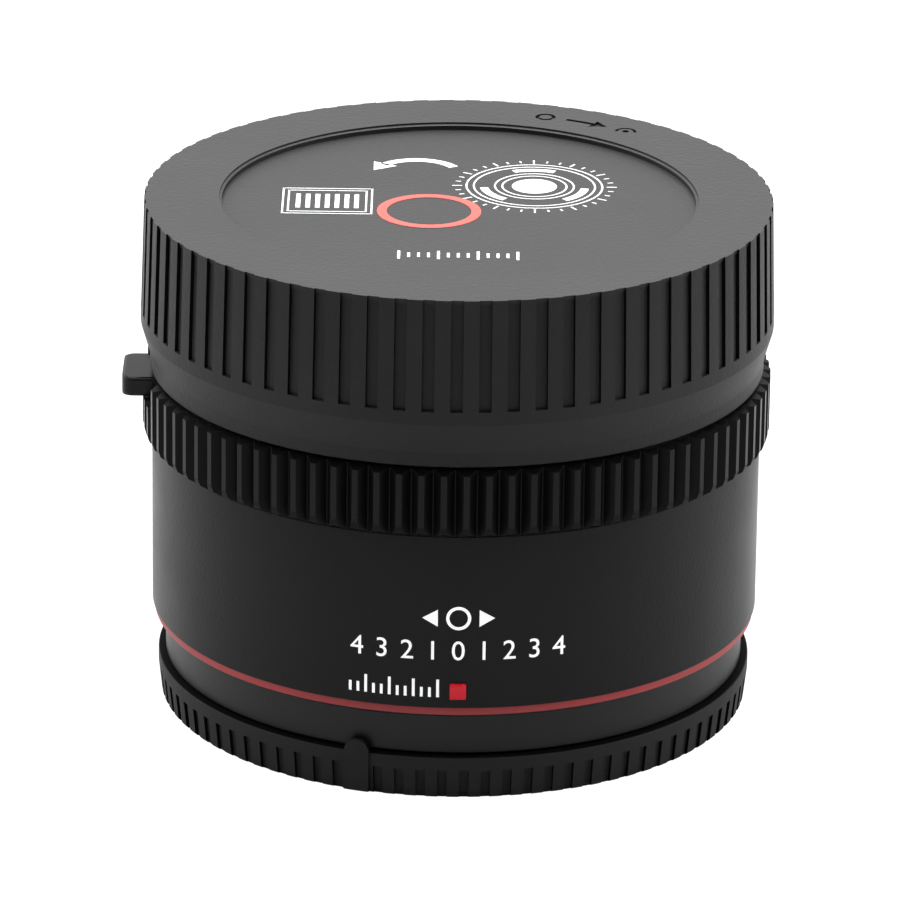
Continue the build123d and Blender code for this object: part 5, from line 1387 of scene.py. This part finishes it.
# Stage: each light's width and height, its place and the setting that holds its power
LIGHTS = {
    "top_light": ((0.7, 0.7), (0, 0.1, 0.75), "top_power"),
    "left_light": ((0.35, 0.5), (-0.5, 0.3, 0.25), "left_power"),
    "right_light": ((0.4, 0.5), (0.55, 0.02, 0.25), "right_power"),
    "left_fill": ((0.4, 0.4), (-0.56, -0.08, 0.34), "fill_power"),
    "right_fill": ((0.4, 0.4), (0.56, -0.08, 0.34), "fill_power"),
}
GLOW_RISE = -0.35, 0.75  # from the camera's side to the back, where the world's light rises
FLOOR_HALF = 3.0
FLOOR_SURFACE = 0.7, 0.2, 800.0, 0.01, 0.01
FLOOR_BLEND = 0.8  # how much of the floor's own white the camera sees
SENSOR_WIDTH = 36
CLIP_START = 0.05


def area_light(name, size, power, place, target):
    light = bpy.data.lights.new(name, "AREA")
    light.shape = "RECTANGLE"
    light.size, light.size_y = size
    light.energy = power
    obj = new_object(name, light)
    obj.location = place
    obj.rotation_euler = (Vector(target) - Vector(place)).to_track_quat("-Z", "Y").to_euler()


def mix_for_camera(tree, share, other, seen, output):
    """Sends one shader to the output, mixed with another one where the camera sees it."""
    choose = tree.nodes.new("ShaderNodeMixShader")
    camera_ray = tree.nodes.new("ShaderNodeLightPath").outputs["Is Camera Ray"]
    tree.links.new(math_node(tree, "MULTIPLY", camera_ray, share), choose.inputs[0])
    tree.links.new(other.outputs[0], choose.inputs[1])
    tree.links.new(seen.outputs[0], choose.inputs[2])
    tree.links.new(choose.outputs[0], output.inputs["Surface"])


def studio_world(settings):
    """A pale room: bright behind the object, dim behind the camera, and an even white to the camera."""
    world = bpy.data.worlds.new("studio")
    world.use_nodes = True
    tree = world.node_tree
    background = tree.nodes["Background"]
    split = tree.nodes.new("ShaderNodeSeparateXYZ")
    tree.links.new(tree.nodes.new("ShaderNodeTexCoord").outputs["Generated"], split.inputs[0])
    slope = tree.nodes.new("ShaderNodeMapRange")
    slope.interpolation_type = "SMOOTHSTEP"
    slope.inputs["From Min"].default_value, slope.inputs["From Max"].default_value = GLOW_RISE
    slope.inputs["To Min"].default_value = settings.front_glow
    slope.inputs["To Max"].default_value = settings.back_glow
    tree.links.new(split.outputs["Y"], slope.inputs["Value"])
    tree.links.new(slope.outputs["Result"], background.inputs["Strength"])
    seen = tree.nodes.new("ShaderNodeBackground")
    seen.inputs["Color"].default_value = (1, 1, 1, 1)
    background.inputs["Color"].default_value = (1, 1, 1, 1)
    mix_for_camera(tree, 1.0, background, seen, tree.nodes["World Output"])
    bpy.context.scene.world = world


def pale_floor(tone, glow):
    """A pale floor, which the camera sees nearly white."""
    bm = bmesh.new()
    bmesh.ops.create_grid(bm, x_segments=1, y_segments=1, size=FLOOR_HALF)
    floor = new_object("floor", new_mesh("floor", bm))
    made = grained("pale_floor", tone, *FLOOR_SURFACE)
    tree = made.node_tree
    white = tree.nodes.new("ShaderNodeEmission")
    white.inputs["Strength"].default_value = glow
    shader = tree.nodes["Principled BSDF"]
    mix_for_camera(tree, FLOOR_BLEND, shader, white, tree.nodes["Material Output"])
    floor.data.materials.append(made)


class Stage(Operator):
    """Set the floor, the lights, the world and the camera"""

    bl_idname = "converter.stage"
    bl_label = "Stage"

    def execute(self, context):
        scene = context.scene
        settings = scene.stage_settings
        pale_floor(tuple(scene.finish_colours.floor), settings.floor_glow)
        studio_world(settings)
        middle = (CAD_BOX[0] + CAD_BOX[1]) / 2
        for name, (size, place, power) in LIGHTS.items():
            area_light(name, size, getattr(settings, power), place, middle)
        camera = bpy.data.cameras.new("camera")
        camera.lens = settings.focal_length
        camera.sensor_width = SENSOR_WIDTH
        camera.clip_start = CLIP_START
        holder = new_object("camera", camera)
        ahead = Vector((0, cos(settings.elevation), -sin(settings.elevation)))
        right = Vector((1, 0, 0))
        up = right.cross(ahead)
        across = right * cos(settings.roll) + up * sin(settings.roll)
        above = up * cos(settings.roll) - right * sin(settings.roll)
        axes = Matrix((across, above, -ahead)).transposed().to_4x4()
        holder.matrix_world = Matrix.Translation(settings.position) @ axes
        scene.camera = holder
        scene.view_settings.view_transform = "Standard"
        return {"FINISHED"}


class ConverterPanel(Panel):
    """Lists the pieces of the teleconverter in the order in which they are made"""

    bl_idname = "VIEW3D_PT_converter"
    bl_label = "Teleconverter"
    bl_space_type = "VIEW_3D"
    bl_region_type = "UI"
    bl_category = "Converter"

    def draw(self, context):
        for group in SETTINGS:
            settings = context.scene.path_resolve(group)
            box = self.layout.box()
            box.label(text=group.replace("_", " ").capitalize())
            for name in settings.bl_rna.properties.keys():
                if name not in ("rna_type", "name"):
                    box.prop(settings, name)
        for operator in OPERATORS:
            self.layout.operator(operator.bl_idname)


SETTINGS = {
    "front_cap_sizes": FrontCapSizes,
    "grip_sizes": GripSizes,
    "barrel_sizes": BarrelSizes,
    "rear_cap_sizes": RearCapSizes,
    "lever_sizes": LeverSizes,
    "print_sizes": PrintSizes,
    "finish_colours": FinishColours,
    "stage_settings": StageSettings,
}
OPERATORS = (FrontCap, CapPrint, GripRing, LeverTab, Barrel, BarrelPrint, RearCap, InnerParts, Stage)


def register():
    for cls in (*SETTINGS.values(), *OPERATORS, ConverterPanel):
        bpy.utils.register_class(cls)
    for name, cls in SETTINGS.items():
        setattr(bpy.types.Scene, name, PointerProperty(type=cls))


def unregister():
    for name in SETTINGS:
        delattr(bpy.types.Scene, name)
    for cls in reversed((*SETTINGS.values(), *OPERATORS, ConverterPanel)):
        bpy.utils.unregister_class(cls)


def main():
    register()
    bpy.ops.converter.front_cap()
    bpy.ops.converter.cap_print()
    bpy.ops.converter.grip_ring()
    bpy.ops.converter.lever_tab()
    bpy.ops.converter.barrel()
    bpy.ops.converter.barrel_print()
    bpy.ops.converter.rear_cap()
    bpy.ops.converter.inner_parts()
    bpy.ops.converter.stage()


if __name__ == "__main__":
    main()
